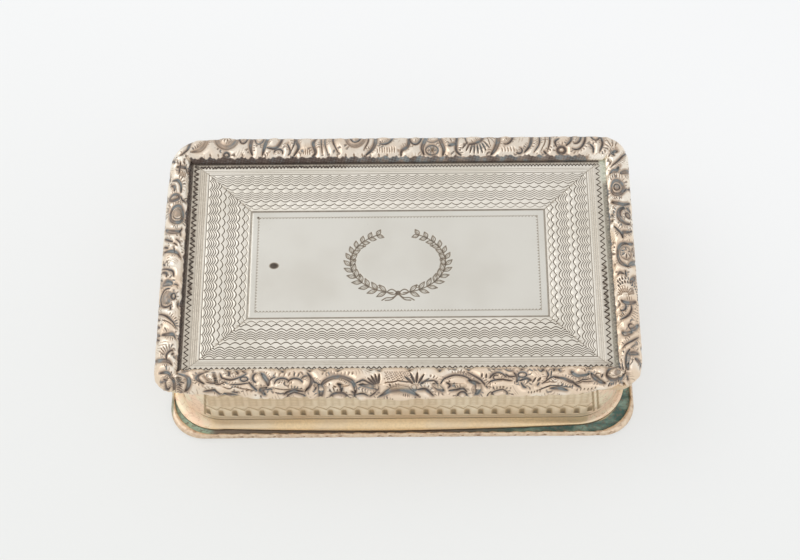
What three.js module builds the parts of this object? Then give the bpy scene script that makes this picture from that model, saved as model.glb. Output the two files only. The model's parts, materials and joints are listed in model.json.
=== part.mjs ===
// Snuff box: a rounded rectangular body and a hinged lid, both of sheet with cast borders.
// Millimetres, +Z up. The origin is the centre of the base's underside, the front is at -Y.
import * as THREE from "three";

// Body wall, measured over its outer face
const WALL_WIDTH = 80.4;
const WALL_DEPTH = 47.7;
const WALL_CORNER_RADIUS = 8.4;
const WALL_THICKNESS = 0.9;
const WALL_HEIGHT = 15.5;
const COVE_HEIGHT = 2.5;
const FOOT_EDGE = 0.5;
const FOOT_FLARE = 1.05;

// Base plate and the cast rim round it
const BASE_THICKNESS = 0.7;
const BASE_CORNER_RADIUS = 6.0;
const FOOT_TO_RIM = 0.4;
const RIM_WIDTH = 0.75;
const RIM_RISE = 0.8;
const RIM_EDGE = 0.4;
const RIM_GROUND_GAP = 0.2;
const RIM_ROUNDING = 0.3;

// Inner bezel that rises above the seam on the front and the sides
const BEZEL_THICKNESS = 0.6;
const BEZEL_HEIGHT = 4.1;

// Lid: plate, rim under it and the border that overhangs the wall
const LID_OVERHANG = 2.85;
const LID_CORNER_RADIUS = 4.5;
const LID_PLATE_THICKNESS = 0.7;
const LID_RIM_HEIGHT = 0.95;
const SEAM_GAP = 0.15;
const BORDER_WIDTH = 4.8;
const BORDER_RISE = 1.65;
const BORDER_WALL_LEAN = 0.35;
const BORDER_EDGE = 1.5;
const BORDER_LAND = 0.6;
const BORDER_LIP = 0.3;

// Thumbpiece: a crescent on the middle of the front border
const THUMB_WIDTH = 34.0;
const THUMB_REACH = 0.6;
const THUMB_THICKNESS = 1.5;
const THUMB_CHAMFER = 0.3;

// Hinge
const HINGE_END_MARGIN = 2.8;
const KNUCKLE_COUNT = 7;
const KNUCKLE_RADIUS = 1.05;
const KNUCKLE_TAB = 1.0;
const KNUCKLE_END_GAP = 0.15;
const PIN_RADIUS = 0.45;
const PIN_CLEARANCE = 0.1;
const PLUG_LENGTH = 0.7;
const BEARER_THICKNESS = 0.3;
const BEARER_CLEARANCE = 0.2;
const BEARER_OVERHANG = 1.0;
const BEARER_TOP_MARGIN = 0.4;

// Fits
const SOLDER_GAP = 0.05;
const BEZEL_CLEARANCE = 0.3;
const BEZEL_TOP_CLEARANCE = 0.3;

// Fineness of the round stretches
const CORNER_STEPS = 10;
const COVE_STEPS = 6;
const ROUND_STEPS = 20;
const SMALLEST_RADIUS = 0.3;

// Levels and places that follow from the sizes above
const WALL_TOP = BASE_THICKNESS + WALL_HEIGHT;
const FOOT_TOP = BASE_THICKNESS + FOOT_EDGE;
const RIM_HEIGHT = BASE_THICKNESS + RIM_RISE;
const BASE_PROJECTION = FOOT_FLARE + FOOT_TO_RIM + RIM_WIDTH;
const LID_RIM_BOTTOM = WALL_TOP + SEAM_GAP;
const PLATE_BOTTOM = LID_RIM_BOTTOM + LID_RIM_HEIGHT;
const PLATE_TOP = PLATE_BOTTOM + LID_PLATE_THICKNESS;
const BEZEL_TOP = PLATE_BOTTOM - BEZEL_TOP_CLEARANCE;
const BEZEL_BOTTOM = BEZEL_TOP - BEZEL_HEIGHT;
const HINGE_LENGTH = WALL_WIDTH - 2 * (WALL_CORNER_RADIUS + HINGE_END_MARGIN);
const BACK_WALL_Y = WALL_DEPTH / 2;
const BEARER_FACE_Y = BACK_WALL_Y + BEARER_THICKNESS;
const LID_BEARER_BOTTOM = LID_RIM_BOTTOM - BEARER_THICKNESS;
const KNUCKLE_REACH = KNUCKLE_RADIUS + BEARER_CLEARANCE;
const AXIS_Y = BEARER_FACE_Y + KNUCKLE_REACH;
const AXIS_Z = LID_BEARER_BOTTOM - KNUCKLE_REACH;

const silver = { color: 0xd8d2c6, roughness: 0.32, metalness: 1.0 };
const castSilver = { color: 0xe0cbb2, roughness: 0.4, metalness: 1.0 };
const giltSilver = { color: 0xe3bf85, roughness: 0.36, metalness: 1.0 };
const tarnishedSilver = { color: 0x9fb0a2, roughness: 0.5, metalness: 0.9 };
const hingeSilver = { color: 0xcfc8ba, roughness: 0.42, metalness: 1.0 };

const box = new THREE.Group();
box.name = "snuff_box";
const body = new THREE.Group();
const lid = new THREE.Group();
box.add(body, lid);

function addPiece(group, name, geometry, look) {
  const mesh = new THREE.Mesh(geometry, new THREE.MeshStandardMaterial(look));
  mesh.name = name;
  group.add(mesh);
  return mesh;
}

// A rounded rectangle that can be asked for a point of any of its four corner arcs. A positive
// inset moves the line inwards, and the corner radius shrinks with it.
class Outline {
  constructor(width, depth, radius) {
    this.halfWidth = width / 2;
    this.halfDepth = depth / 2;
    this.radius = radius;
  }

  point(corner, angle, inset) {
    const radius = Math.max(this.radius - inset, SMALLEST_RADIUS);
    const signX = Math.sign(Math.cos(corner));
    const signY = Math.sign(Math.sin(corner));
    const x = signX * (this.halfWidth - inset - radius) + radius * Math.cos(angle);
    const y = signY * (this.halfDepth - inset - radius) + radius * Math.sin(angle);
    return [x, y];
  }
}

const wallLine = new Outline(WALL_WIDTH, WALL_DEPTH, WALL_CORNER_RADIUS);
const lidLine = new Outline(
  WALL_WIDTH + 2 * LID_OVERHANG, WALL_DEPTH + 2 * LID_OVERHANG, LID_CORNER_RADIUS);
const baseLine = new Outline(
  WALL_WIDTH + 2 * BASE_PROJECTION, WALL_DEPTH + 2 * BASE_PROJECTION, BASE_CORNER_RADIUS);

const QUARTER = Math.PI / 2;
const BACK_RIGHT = QUARTER / 2;
const BACK_LEFT = BACK_RIGHT + QUARTER;
const FRONT_LEFT = BACK_LEFT + QUARTER;
const FRONT_RIGHT = FRONT_LEFT + QUARTER;
const CORNERS = [BACK_RIGHT, BACK_LEFT, FRONT_LEFT, FRONT_RIGHT];

// Stations of a corner arc, as the corner's middle angle and the angle on the arc. The arc runs
// from one share of its quarter turn to another.
function arcStations(corner, from = 0, to = 1) {
  const steps = Math.round(CORNER_STEPS * (to - from));
  return Array.from({ length: steps + 1 }, (_, i) => {
    const share = from + (to - from) * (i / steps);
    return { corner, angle: corner + QUARTER * (share - 0.5) };
  });
}

const wholeLoop = CORNERS.flatMap((corner) => arcStations(corner));
const strips = {
  front: [...arcStations(FRONT_LEFT, 0.5, 1), ...arcStations(FRONT_RIGHT, 0, 0.5)],
  back: [...arcStations(BACK_RIGHT, 0.5, 1), ...arcStations(BACK_LEFT, 0, 0.5)],
  left: [...arcStations(BACK_LEFT, 0.5, 1), ...arcStations(FRONT_LEFT, 0, 0.5)],
  right: [...arcStations(FRONT_RIGHT, 0.5, 1), ...arcStations(BACK_RIGHT, 0, 0.5)],
};
const threeSides = [...arcStations(FRONT_LEFT), ...arcStations(FRONT_RIGHT)];

// A section is a closed list of points { line, inset, z }.
function at(line, inset, z) {
  return { line, inset, z };
}

function sectionPoints(section, station) {
  return section.map(({ line, inset, z }) => {
    const [x, y] = line.point(station.corner, station.angle, inset);
    return new THREE.Vector3(x, y, z);
  });
}

function signedVolume(positions, triangles) {
  const a = new THREE.Vector3();
  const b = new THREE.Vector3();
  const c = new THREE.Vector3();
  let volume = 0;
  for (let i = 0; i < triangles.length; i += 3) {
    a.fromArray(positions, 3 * triangles[i]);
    b.fromArray(positions, 3 * triangles[i + 1]);
    c.fromArray(positions, 3 * triangles[i + 2]);
    volume += a.dot(b.cross(c));
  }
  return volume;
}

// Joins rings of equal length into one closed solid. A run that isn't a loop gets two flat ends,
// cut into triangles in the section's own plane.
function loft(rings, isLoop, section) {
  const size = rings[0].length;
  const positions = rings.flatMap((ring) => ring.flatMap((p) => [p.x, p.y, p.z]));
  const triangles = [];
  const last = isLoop ? rings.length : rings.length - 1;
  for (let i = 0; i < last; i += 1) {
    const here = i * size;
    const next = ((i + 1) % rings.length) * size;
    for (let j = 0; j < size; j += 1) {
      const k = (j + 1) % size;
      triangles.push(here + j, next + j, next + k, here + j, next + k, here + k);
    }
  }
  if (!isLoop) {
    const flat = section.map(({ inset, z }) => new THREE.Vector2(inset, z));
    const turned = THREE.ShapeUtils.isClockWise(flat);
    const far = (rings.length - 1) * size;
    for (const [a, b, c] of THREE.ShapeUtils.triangulateShape(flat, [])) {
      if (turned) triangles.push(a, c, b, far + a, far + b, far + c);
      else triangles.push(a, b, c, far + a, far + c, far + b);
    }
  }
  if (signedVolume(positions, triangles) < 0) triangles.reverse();
  const geometry = new THREE.BufferGeometry();
  geometry.setAttribute("position", new THREE.Float32BufferAttribute(positions, 3));
  geometry.setIndex(triangles);
  geometry.computeVertexNormals();
  return geometry;
}

function runSection(section, stations, isLoop) {
  const rings = stations.map((station) => sectionPoints(section, station));
  return loft(rings, isLoop, section);
}

function sheet(line, inset, bottom, top) {
  const shape = new THREE.Shape();
  wholeLoop.forEach((station, i) => {
    const [x, y] = line.point(station.corner, station.angle, inset);
    if (i === 0) shape.moveTo(x, y);
    else shape.lineTo(x, y);
  });
  shape.closePath();
  const geometry = new THREE.ExtrudeGeometry(shape, { depth: top - bottom, bevelEnabled: false });
  geometry.translate(0, 0, bottom);
  return geometry;
}

// The base plate is the box's floor and the face that it stands on.
function buildBase() {
  addPiece(body, "base_plate", sheet(baseLine, RIM_EDGE + SOLDER_GAP, 0, BASE_THICKNESS),
    tarnishedSilver);
  const section = [
    at(baseLine, RIM_EDGE, BASE_THICKNESS),
    at(baseLine, RIM_EDGE, RIM_GROUND_GAP),
    at(baseLine, RIM_ROUNDING / 2, RIM_GROUND_GAP),
    at(baseLine, 0, RIM_GROUND_GAP + RIM_ROUNDING),
    at(baseLine, 0, RIM_HEIGHT - RIM_ROUNDING),
    at(baseLine, RIM_ROUNDING, RIM_HEIGHT),
    at(baseLine, RIM_WIDTH - RIM_ROUNDING / 2, RIM_HEIGHT),
    at(baseLine, RIM_WIDTH, RIM_HEIGHT - RIM_ROUNDING),
    at(baseLine, RIM_WIDTH, BASE_THICKNESS),
  ];
  for (const [side, stations] of Object.entries(strips)) {
    addPiece(body, `base_border_${side}`, runSection(section, stations, false), castSilver);
  }
}

// The wall's foot flares out through a cove, a quarter of an ellipse.
function buildWall() {
  const cove = Array.from({ length: COVE_STEPS + 1 }, (_, i) => {
    const turn = QUARTER * (i / COVE_STEPS);
    const flare = FOOT_FLARE * (1 - Math.cos(turn));
    const z = FOOT_TOP + COVE_HEIGHT * (1 - Math.sin(turn));
    return at(wallLine, -flare, z);
  });
  const section = [
    at(wallLine, 0, WALL_TOP),
    ...cove,
    at(wallLine, -FOOT_FLARE, BASE_THICKNESS),
    at(wallLine, WALL_THICKNESS, BASE_THICKNESS),
    at(wallLine, WALL_THICKNESS, WALL_TOP),
  ];
  addPiece(body, "body_wall", runSection(section, wholeLoop, true), giltSilver);
}

// The bezel lines the wall on three sides and ends where the side walls meet the back corners.
function buildBezel() {
  const outer = WALL_THICKNESS + SOLDER_GAP;
  const inner = outer + BEZEL_THICKNESS;
  const section = [
    at(wallLine, outer, BEZEL_TOP),
    at(wallLine, outer, BEZEL_BOTTOM),
    at(wallLine, inner, BEZEL_BOTTOM),
    at(wallLine, inner, BEZEL_TOP),
  ];
  const leftEnd = arcStations(BACK_LEFT).at(-1);
  const rightEnd = arcStations(BACK_RIGHT)[0];
  const stations = [leftEnd, ...threeSides, rightEnd];
  addPiece(body, "body_bezel", runSection(section, stations, false), giltSilver);
}

function buildLidSheet() {
  const plateInset = BORDER_EDGE + SOLDER_GAP;
  addPiece(lid, "lid_plate", sheet(lidLine, plateInset, PLATE_BOTTOM, PLATE_TOP), silver);
  const guide = WALL_THICKNESS + SOLDER_GAP - BEZEL_CLEARANCE;
  const section = [
    at(lidLine, plateInset, PLATE_BOTTOM),
    at(lidLine, plateInset, LID_RIM_BOTTOM),
    at(wallLine, guide, LID_RIM_BOTTOM),
    at(wallLine, guide, PLATE_BOTTOM),
  ];
  addPiece(lid, "lid_rim", runSection(section, wholeLoop, true), giltSilver);
}

// The cast border sits on the plate and hangs over its edge. Its inner wall leans back, its top is
// a low crown, and its outer face turns under to a narrow flat lip.
function buildLidBorder() {
  const ridge = PLATE_TOP + BORDER_RISE;
  const shoulder = PLATE_TOP + BORDER_RISE * 0.6;
  const crownIn = BORDER_WIDTH - 2 * BORDER_WALL_LEAN;
  const section = [
    at(lidLine, BORDER_WIDTH, PLATE_TOP),
    at(lidLine, BORDER_WIDTH - BORDER_WALL_LEAN, shoulder),
    at(lidLine, crownIn, ridge - BORDER_LIP / 2),
    at(lidLine, crownIn / 2, ridge),
    at(lidLine, crownIn / 4, ridge - BORDER_LIP / 2),
    at(lidLine, BORDER_LIP / 2, shoulder),
    at(lidLine, 0, shoulder - BORDER_LIP),
    at(lidLine, 0, shoulder - BORDER_LIP - BORDER_LAND),
    at(lidLine, BORDER_LIP, (PLATE_TOP + LID_RIM_BOTTOM) / 2),
    at(lidLine, BORDER_EDGE - BORDER_LIP, LID_RIM_BOTTOM),
    at(lidLine, BORDER_EDGE, LID_RIM_BOTTOM),
    at(lidLine, BORDER_EDGE, PLATE_TOP),
  ];
  for (const [side, stations] of Object.entries(strips)) {
    addPiece(lid, `lid_border_${side}`, runSection(section, stations, false), castSilver);
  }
  return shoulder - BORDER_LIP;
}

// The crescent's back is flat against the border's land, its front is an arc with both edges off.
function buildThumbpiece(landTop) {
  const halfWidth = THUMB_WIDTH / 2;
  const frontY = -lidLine.halfDepth;
  const arc = (reach) => {
    const radius = (halfWidth ** 2 + reach ** 2) / (2 * reach);
    const sweep = Math.asin(halfWidth / radius);
    return Array.from({ length: ROUND_STEPS + 1 }, (_, i) => {
      const turn = sweep * ((2 * i) / ROUND_STEPS - 1);
      return [radius * Math.sin(turn), frontY - radius * Math.cos(turn) + radius - reach];
    });
  };
  const chamfer = Math.min(THUMB_CHAMFER, THUMB_REACH / 2, THUMB_THICKNESS / 3);
  const edge = arc(THUMB_REACH - chamfer);
  const front = arc(THUMB_REACH);
  const top = landTop;
  const bottom = top - THUMB_THICKNESS;
  const rings = [];
  for (let i = 1; i < ROUND_STEPS; i += 1) {
    const [ex, ey] = edge[i];
    const [fx, fy] = front[i];
    rings.push([
      new THREE.Vector3(ex, frontY, top),
      new THREE.Vector3(ex, ey, top),
      new THREE.Vector3(fx, fy, top - chamfer),
      new THREE.Vector3(fx, fy, bottom + chamfer),
      new THREE.Vector3(ex, ey, bottom),
      new THREE.Vector3(ex, frontY, bottom),
    ]);
  }
  const flat = rings[0].map((p) => ({ inset: frontY - p.y, z: p.z }));
  addPiece(lid, "thumbpiece", loft(rings, false, flat), castSilver);
}

// A tube's section with a flat tab that reaches its bearer. The tab points along +X of the section.
function knuckleShape() {
  const halfTab = KNUCKLE_TAB / 2;
  const start = Math.asin(halfTab / KNUCKLE_RADIUS);
  const shape = new THREE.Shape();
  shape.moveTo(KNUCKLE_REACH, halfTab);
  for (let i = 0; i <= ROUND_STEPS; i += 1) {
    const angle = start + (2 * Math.PI - 2 * start) * (i / ROUND_STEPS);
    shape.lineTo(KNUCKLE_RADIUS * Math.cos(angle), KNUCKLE_RADIUS * Math.sin(angle));
  }
  shape.lineTo(KNUCKLE_REACH, -halfTab);
  shape.closePath();
  const boreRadius = PIN_RADIUS + PIN_CLEARANCE;
  const bore = Array.from({ length: ROUND_STEPS }, (_, i) => {
    const angle = -2 * Math.PI * (i / ROUND_STEPS);
    return new THREE.Vector2(boreRadius * Math.cos(angle), boreRadius * Math.sin(angle));
  });
  shape.holes.push(new THREE.Path(bore));
  return shape;
}

// The section is drawn in XY and run along Z, then turned so that the run lies along X. The tab
// then points to the wall on a body tube and up to the lid on a lid tube.
function knuckleGeometry(length, tabUp) {
  const geometry = new THREE.ExtrudeGeometry(knuckleShape(), { depth: length, bevelEnabled: false });
  geometry.translate(0, 0, -length / 2);
  geometry.rotateZ(tabUp ? QUARTER : Math.PI);
  geometry.rotateY(QUARTER);
  geometry.rotateX(QUARTER);
  return geometry;
}

function addAlongAxis(group, name, geometry, x, look) {
  const mesh = addPiece(group, name, geometry, look);
  mesh.position.set(x, AXIS_Y, AXIS_Z);
}

function rod(length) {
  const geometry = new THREE.CylinderGeometry(PIN_RADIUS, PIN_RADIUS, length, ROUND_STEPS);
  geometry.rotateZ(QUARTER);
  return geometry;
}

function buildHinge() {
  const pitch = HINGE_LENGTH / KNUCKLE_COUNT;
  const tube = pitch - KNUCKLE_END_GAP;
  for (let i = 0; i < KNUCKLE_COUNT; i += 1) {
    const x = (i + 0.5) * pitch - HINGE_LENGTH / 2;
    const onLid = i % 2 === 1;
    const owner = onLid ? lid : body;
    const number = Math.floor(i / 2) + 1;
    const name = `${onLid ? "lid" : "body"}_knuckle_${number}`;
    addAlongAxis(owner, name, knuckleGeometry(tube, onLid), x, hingeSilver);
  }
  const tubeEnd = (HINGE_LENGTH - KNUCKLE_END_GAP) / 2;
  const pinLength = 2 * (tubeEnd - PLUG_LENGTH - SOLDER_GAP);
  addAlongAxis(body, "hinge_pin", rod(pinLength), 0, hingeSilver);
  const plugX = tubeEnd - PLUG_LENGTH / 2;
  addAlongAxis(body, "pin_plug_left", rod(PLUG_LENGTH), -plugX, hingeSilver);
  addAlongAxis(body, "pin_plug_right", rod(PLUG_LENGTH), plugX, hingeSilver);
}

function barAlongX(shapePoints) {
  const shape = new THREE.Shape(shapePoints.map(([y, z]) => new THREE.Vector2(y, z)));
  const geometry = new THREE.ExtrudeGeometry(shape, { depth: HINGE_LENGTH, bevelEnabled: false });
  geometry.translate(0, 0, -HINGE_LENGTH / 2);
  geometry.rotateY(QUARTER);
  geometry.rotateX(QUARTER);
  return geometry;
}

// The body's bearer is an angle: one leg on the back wall, the other below the tubes, where the
// lid's bearer meets it when the lid is fully open.
function buildBearers() {
  const top = WALL_TOP - BEARER_TOP_MARGIN;
  const ledgeTop = AXIS_Z - KNUCKLE_REACH;
  const ledgeBottom = ledgeTop - BEARER_THICKNESS;
  const ledgeEnd = AXIS_Y + BEARER_OVERHANG;
  addPiece(body, "body_hinge_bearer", barAlongX([
    [BACK_WALL_Y, ledgeBottom],
    [ledgeEnd, ledgeBottom],
    [ledgeEnd, ledgeTop],
    [BEARER_FACE_Y, ledgeTop],
    [BEARER_FACE_Y, top],
    [BACK_WALL_Y, top],
  ]), hingeSilver);
  addPiece(lid, "lid_hinge_bearer", barAlongX([
    [AXIS_Y - BEARER_OVERHANG, LID_BEARER_BOTTOM],
    [AXIS_Y + BEARER_OVERHANG, LID_BEARER_BOTTOM],
    [AXIS_Y + BEARER_OVERHANG, LID_RIM_BOTTOM],
    [AXIS_Y - BEARER_OVERHANG, LID_RIM_BOTTOM],
  ]), hingeSilver);
}

buildBase();
buildWall();
buildBezel();
buildLidSheet();
buildThumbpiece(buildLidBorder());
buildHinge();
buildBearers();

export default box;
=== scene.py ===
"""The snuff box dressed for its picture: engine-turned lid, cast scroll borders, gilt body and hinge.

Every size is in millimetres in the frame of the solids (centre of the underside, +X right, +Y back,
+Z up) and becomes metres where a mesh or a lamp is made.
"""

from __future__ import annotations

import json
import logging
import math
from dataclasses import dataclass, field
from enum import Enum
from typing import Sequence

import bpy
import numpy as np
from mathutils import Matrix, Vector

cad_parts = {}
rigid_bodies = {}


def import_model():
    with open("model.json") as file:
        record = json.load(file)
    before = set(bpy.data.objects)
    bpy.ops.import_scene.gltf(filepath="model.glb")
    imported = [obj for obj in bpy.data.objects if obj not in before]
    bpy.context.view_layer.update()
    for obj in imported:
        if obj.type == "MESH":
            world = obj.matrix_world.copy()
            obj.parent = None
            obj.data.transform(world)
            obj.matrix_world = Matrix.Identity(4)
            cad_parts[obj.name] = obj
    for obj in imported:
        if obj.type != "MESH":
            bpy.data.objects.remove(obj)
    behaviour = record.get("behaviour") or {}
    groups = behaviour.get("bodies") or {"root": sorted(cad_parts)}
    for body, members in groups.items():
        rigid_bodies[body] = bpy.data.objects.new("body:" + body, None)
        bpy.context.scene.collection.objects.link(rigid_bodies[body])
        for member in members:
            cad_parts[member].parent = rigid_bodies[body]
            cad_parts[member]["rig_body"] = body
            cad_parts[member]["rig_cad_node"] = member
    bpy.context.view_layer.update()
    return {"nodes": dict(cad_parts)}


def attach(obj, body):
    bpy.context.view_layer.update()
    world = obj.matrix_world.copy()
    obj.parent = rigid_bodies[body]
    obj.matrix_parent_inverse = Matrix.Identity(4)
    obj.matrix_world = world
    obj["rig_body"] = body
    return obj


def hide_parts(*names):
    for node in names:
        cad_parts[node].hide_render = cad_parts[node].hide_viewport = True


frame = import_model()
LOG = logging.getLogger("snuff_box")

MM = 0.001
PLATE_TOP = 18.0
PLATE_UNDERSIDE = 17.3
Pair = tuple[float, float]
Colour = tuple[float, float, float]

# Patches to the metre of the noises that the finishes share
GRAIN_NOISE = 1400.0
SMOKE_NOISE = 700.0
SCRATCH_NOISE = 900.0
LINING_NOISE = 90.0
BLOOM_NOISE = 500.0
SPECK_NOISE = 2600.0
STREAK_NOISE = 420.0

# Amounts of tarnish and painted shade over which a hollow turns warm, then smoky, then nearly black
WARM_TARNISH_AND_SHADE: Pair = (0.02, 0.42)
SMOKY_TARNISH_AND_SHADE: Pair = (0.28, 0.68)
DEEP_TARNISH_AND_SHADE: Pair = (0.6, 0.98)

# Amounts of tarnish and painted shade over which the metal loses its metallic look
MATT_TARNISH_AND_SHADE: Pair = (0.2, 1.1)

# Heights, in mm, over which the floor plate's upper face takes its finish
FLOOR_FACE: Pair = (0.3, 0.6)

# Cast grooves wider than this, in mm, have pillows and ribs beside them
FLANKED_FROM = 0.24

# How far right of the middle the rim and the floor plate stand, in mm
RIM_OFFSET = 0.5


def linear(red: float, green: float, blue: float) -> tuple[float, float, float, float]:
    """Turns a colour written as 0 to 255 screen values into the linear values that a socket takes."""
    shares = (value / 255 for value in (red, green, blue))
    return tuple(s / 12.92 if s < 0.04045 else ((s + 0.055) / 1.055) ** 2.4 for s in shares) + (1.0,)


class Wire:
    """A shader socket that is added, subtracted and multiplied like a number."""

    def __init__(self, bench: "Bench", socket: bpy.types.NodeSocket) -> None:
        """Keeps the socket and the bench that its nodes are made on."""
        self.bench = bench
        self.socket = socket

    def _reckon(self, operation: str, first: "Wire | float", second: "Wire | float") -> "Wire":
        """Adds one Math node that works on two values."""
        return self.bench.node("ShaderNodeMath", {"operation": operation}, {0: first, 1: second})

    def __add__(self, other: "Wire | float") -> "Wire":
        """Sum of two values."""
        return self._reckon("ADD", self, other)

    def __sub__(self, other: "Wire | float") -> "Wire":
        """Difference of two values."""
        return self._reckon("SUBTRACT", self, other)

    def __rsub__(self, other: float) -> "Wire":
        """A number less this value."""
        return self._reckon("SUBTRACT", other, self)

    def __mul__(self, other: "Wire | float") -> "Wire":
        """Product of two values."""
        return self._reckon("MULTIPLY", self, other)

    __radd__ = __add__
    __rmul__ = __mul__

    def size(self) -> "Wire":
        """The value without its sign."""
        return self._reckon("ABSOLUTE", self, 0.0)

    def over(self, other: "Wire | float") -> "Wire":
        """The larger of two values."""
        return self._reckon("MAXIMUM", self, other)

    def ramp(self, low: float, high: float) -> "Wire":
        """A smooth step from 0 at low to 1 at high."""
        return self.bench.node(
            "ShaderNodeMapRange",
            {"interpolation_type": "SMOOTHSTEP"},
            {0: self, 1: low, 2: high, 3: 0.0, 4: 1.0},
        )


class Bench:
    """The node tree of one material while it is being made."""

    def __init__(self, name: str) -> None:
        """Starts an empty material.

        Args:
            name: name of the material.
        """
        self.material = bpy.data.materials.new(name)
        self.material.use_nodes = True
        self.tree = self.material.node_tree
        self.tree.nodes.clear()

    def node(self, kind: str, settings: dict | None = None, inputs: dict | None = None,
             output: int | str = 0) -> Wire:
        """Adds a node.

        Args:
            kind: the node's type.
            settings: its own settings, made first.
            inputs: values or wires by socket.
            output: which output the wire leaves from.

        Returns:
            The wire from that output.
        """
        made = self.tree.nodes.new(kind)
        for key, value in (settings or {}).items():
            setattr(made, key, value)
        for key, value in (inputs or {}).items():
            if isinstance(value, Wire):
                self.tree.links.new(value.socket, made.inputs[key])
            else:
                made.inputs[key].default_value = value
        return Wire(self, made.outputs[output])

    def blend(self, share: Wire | float, first: Wire | Sequence[float],
              second: Wire | Sequence[float]) -> Wire:
        """Mixes two colours by a share from 0, the first, to 1, the second."""
        settings = {"data_type": "RGBA", "clamp_factor": True}
        return self.node("ShaderNodeMix", settings, {0: share, 6: first, 7: second}, 2)

    def attribute(self, name: str) -> Wire:
        """Reads a value kept at the mesh's points, 0 where the mesh has none."""
        return self.node("ShaderNodeAttribute", {"attribute_name": name}, output="Fac")

    def place(self) -> Wire:
        """Object coordinates, in metres in the frame of the solids."""
        return self.node("ShaderNodeTexCoord", output="Object")

    def axis(self, name: str) -> Wire:
        """One Object coordinate, in mm."""
        return self.node("ShaderNodeSeparateXYZ", None, {0: self.place()}, name) * (1.0 / MM)

    def stretched(self, scale: Sequence[float]) -> Wire:
        """Object coordinates stretched along the axes."""
        return self.node("ShaderNodeMapping", None, {"Vector": self.place(), "Scale": scale})

    def mottle(self, scale: float, detail: float = 3.0, where: Wire | None = None) -> Wire:
        """Noise of a given number of patches to the metre."""
        inputs = {"Vector": where or self.place(), "Scale": scale, "Detail": detail}
        return self.node("ShaderNodeTexNoise", None, inputs)

    def deliver(self, surface: Wire) -> bpy.types.Material:
        """Joins a surface to the material's output and returns the material."""
        output = self.tree.nodes.new("ShaderNodeOutputMaterial")
        self.tree.links.new(surface.socket, output.inputs["Surface"])
        return self.material


@dataclass(frozen=True)
class Metal:
    """A worn metal finish: two tones in patches, hollows darkened by tarnish and painted shade, green
    bloom, fine scratches.
    """

    name: str
    tone: Colour
    patch: Colour
    warm: Colour = (182, 164, 142)
    shade_and_tarnish: Colour = (120, 114, 108)
    cool: Colour = (124, 130, 134)
    deep: Colour = (64, 58, 56)
    bloom: Colour = (150, 164, 142)
    roughness: float = 0.28
    patch_scale: float = 160.0
    drift: Pair = (0.0, 0.0)
    grain: float = 0.006
    scratch: float = 0.5
    stain: float = 0.0
    stain_colour: Colour = (150, 96, 66)
    metallic: float = 1.0
    lining: Colour | None = None

    def material(self) -> bpy.types.Material:
        """The material of this finish, made the first time that it is asked for."""
        return bpy.data.materials.get(self.name) or self._make()

    def _make(self) -> bpy.types.Material:
        """Builds the nodes of the finish."""
        bench = Bench(self.name)
        fine = bench.mottle(GRAIN_NOISE, 4.0)
        tone = self.clean(bench)
        if self.stain:
            spread = bench.mottle(self.patch_scale * 0.6, 5.0, bench.stretched((1.0, 1.2, 2.0)))
            share = spread.ramp(0.52, 0.78) * self.stain
            tone = bench.blend(share, tone, linear(*self.stain_colour))
        if self.lining:
            worn = bench.mottle(LINING_NOISE).ramp(0.35, 0.7) * 0.4
            lining = bench.blend(worn, linear(*self.lining), tone)
            tone = bench.blend(bench.attribute("inside"), tone, lining)
        # The hollow mark is tarnish in the hollows together with painted shade in grooves, gaps and
        # crevices
        tarnish_and_shade = bench.attribute("hollow") * (0.78 + 0.44 * fine)
        smoke = bench.blend(
            bench.mottle(SMOKE_NOISE).ramp(0.42, 0.6), linear(*self.shade_and_tarnish), linear(*self.cool)
        )
        steps = ((WARM_TARNISH_AND_SHADE, linear(*self.warm)), (SMOKY_TARNISH_AND_SHADE, smoke), (DEEP_TARNISH_AND_SHADE, linear(*self.deep)))
        for amount, colour in steps:
            tone = bench.blend(tarnish_and_shade.ramp(*amount), tone, colour)
        bloom = self.green(bench)
        tone = bench.blend(bloom, tone, self.green_tone(bench))
        scratches = bench.mottle(SCRATCH_NOISE, 6.0, bench.stretched((0.35, 5.0, 5.0)))
        rough = self.roughness + 0.1 * (fine - 0.5) + tarnish_and_shade * 0.3 + bloom * 0.4
        rough = rough + self.scratch * 0.16 * scratches.ramp(0.5, 0.8)
        matt = tarnish_and_shade.ramp(*MATT_TARNISH_AND_SHADE) * 0.5
        grain = {"Strength": 0.5, "Distance": self.grain * MM, "Height": fine + 0.5 * scratches}
        inputs = {
            "Base Color": tone,
            "Metallic": self.metallic - matt - bloom * 0.8 - self.dulled(bench),
            "Roughness": rough,
            "Normal": bench.node("ShaderNodeBump", None, grain),
        }
        return bench.deliver(bench.node("ShaderNodeBsdfPrincipled", None, inputs))

    def clean(self, bench: Bench) -> Wire:
        """The metal's colour where it is clean, one tone drifting into the other across the box."""
        patches = bench.mottle(self.patch_scale)
        if any(self.drift):
            patches = patches + self.drift[0] * bench.axis("X") + self.drift[1] * bench.axis("Y")
        return bench.blend(patches.ramp(0.35, 0.68), linear(*self.tone), linear(*self.patch))

    def dulled(self, bench: Bench) -> Wire | float:
        """How much less metallic a part of the piece is: here, no part of it."""
        return 0.0

    def green(self, bench: Bench) -> Wire:
        """Where the green bloom sits: here, where the mesh says so."""
        return bench.attribute("bloom") * bench.mottle(BLOOM_NOISE, 4.0).ramp(0.2, 0.6)

    def green_tone(self, bench: Bench) -> Wire:
        """The bloom's colour, speckled."""
        speck = bench.mottle(SPECK_NOISE, 5.0).ramp(0.3, 0.75)
        return bench.blend(speck, linear(*self.bloom), linear(*(0.78 * c for c in self.bloom)))


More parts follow.
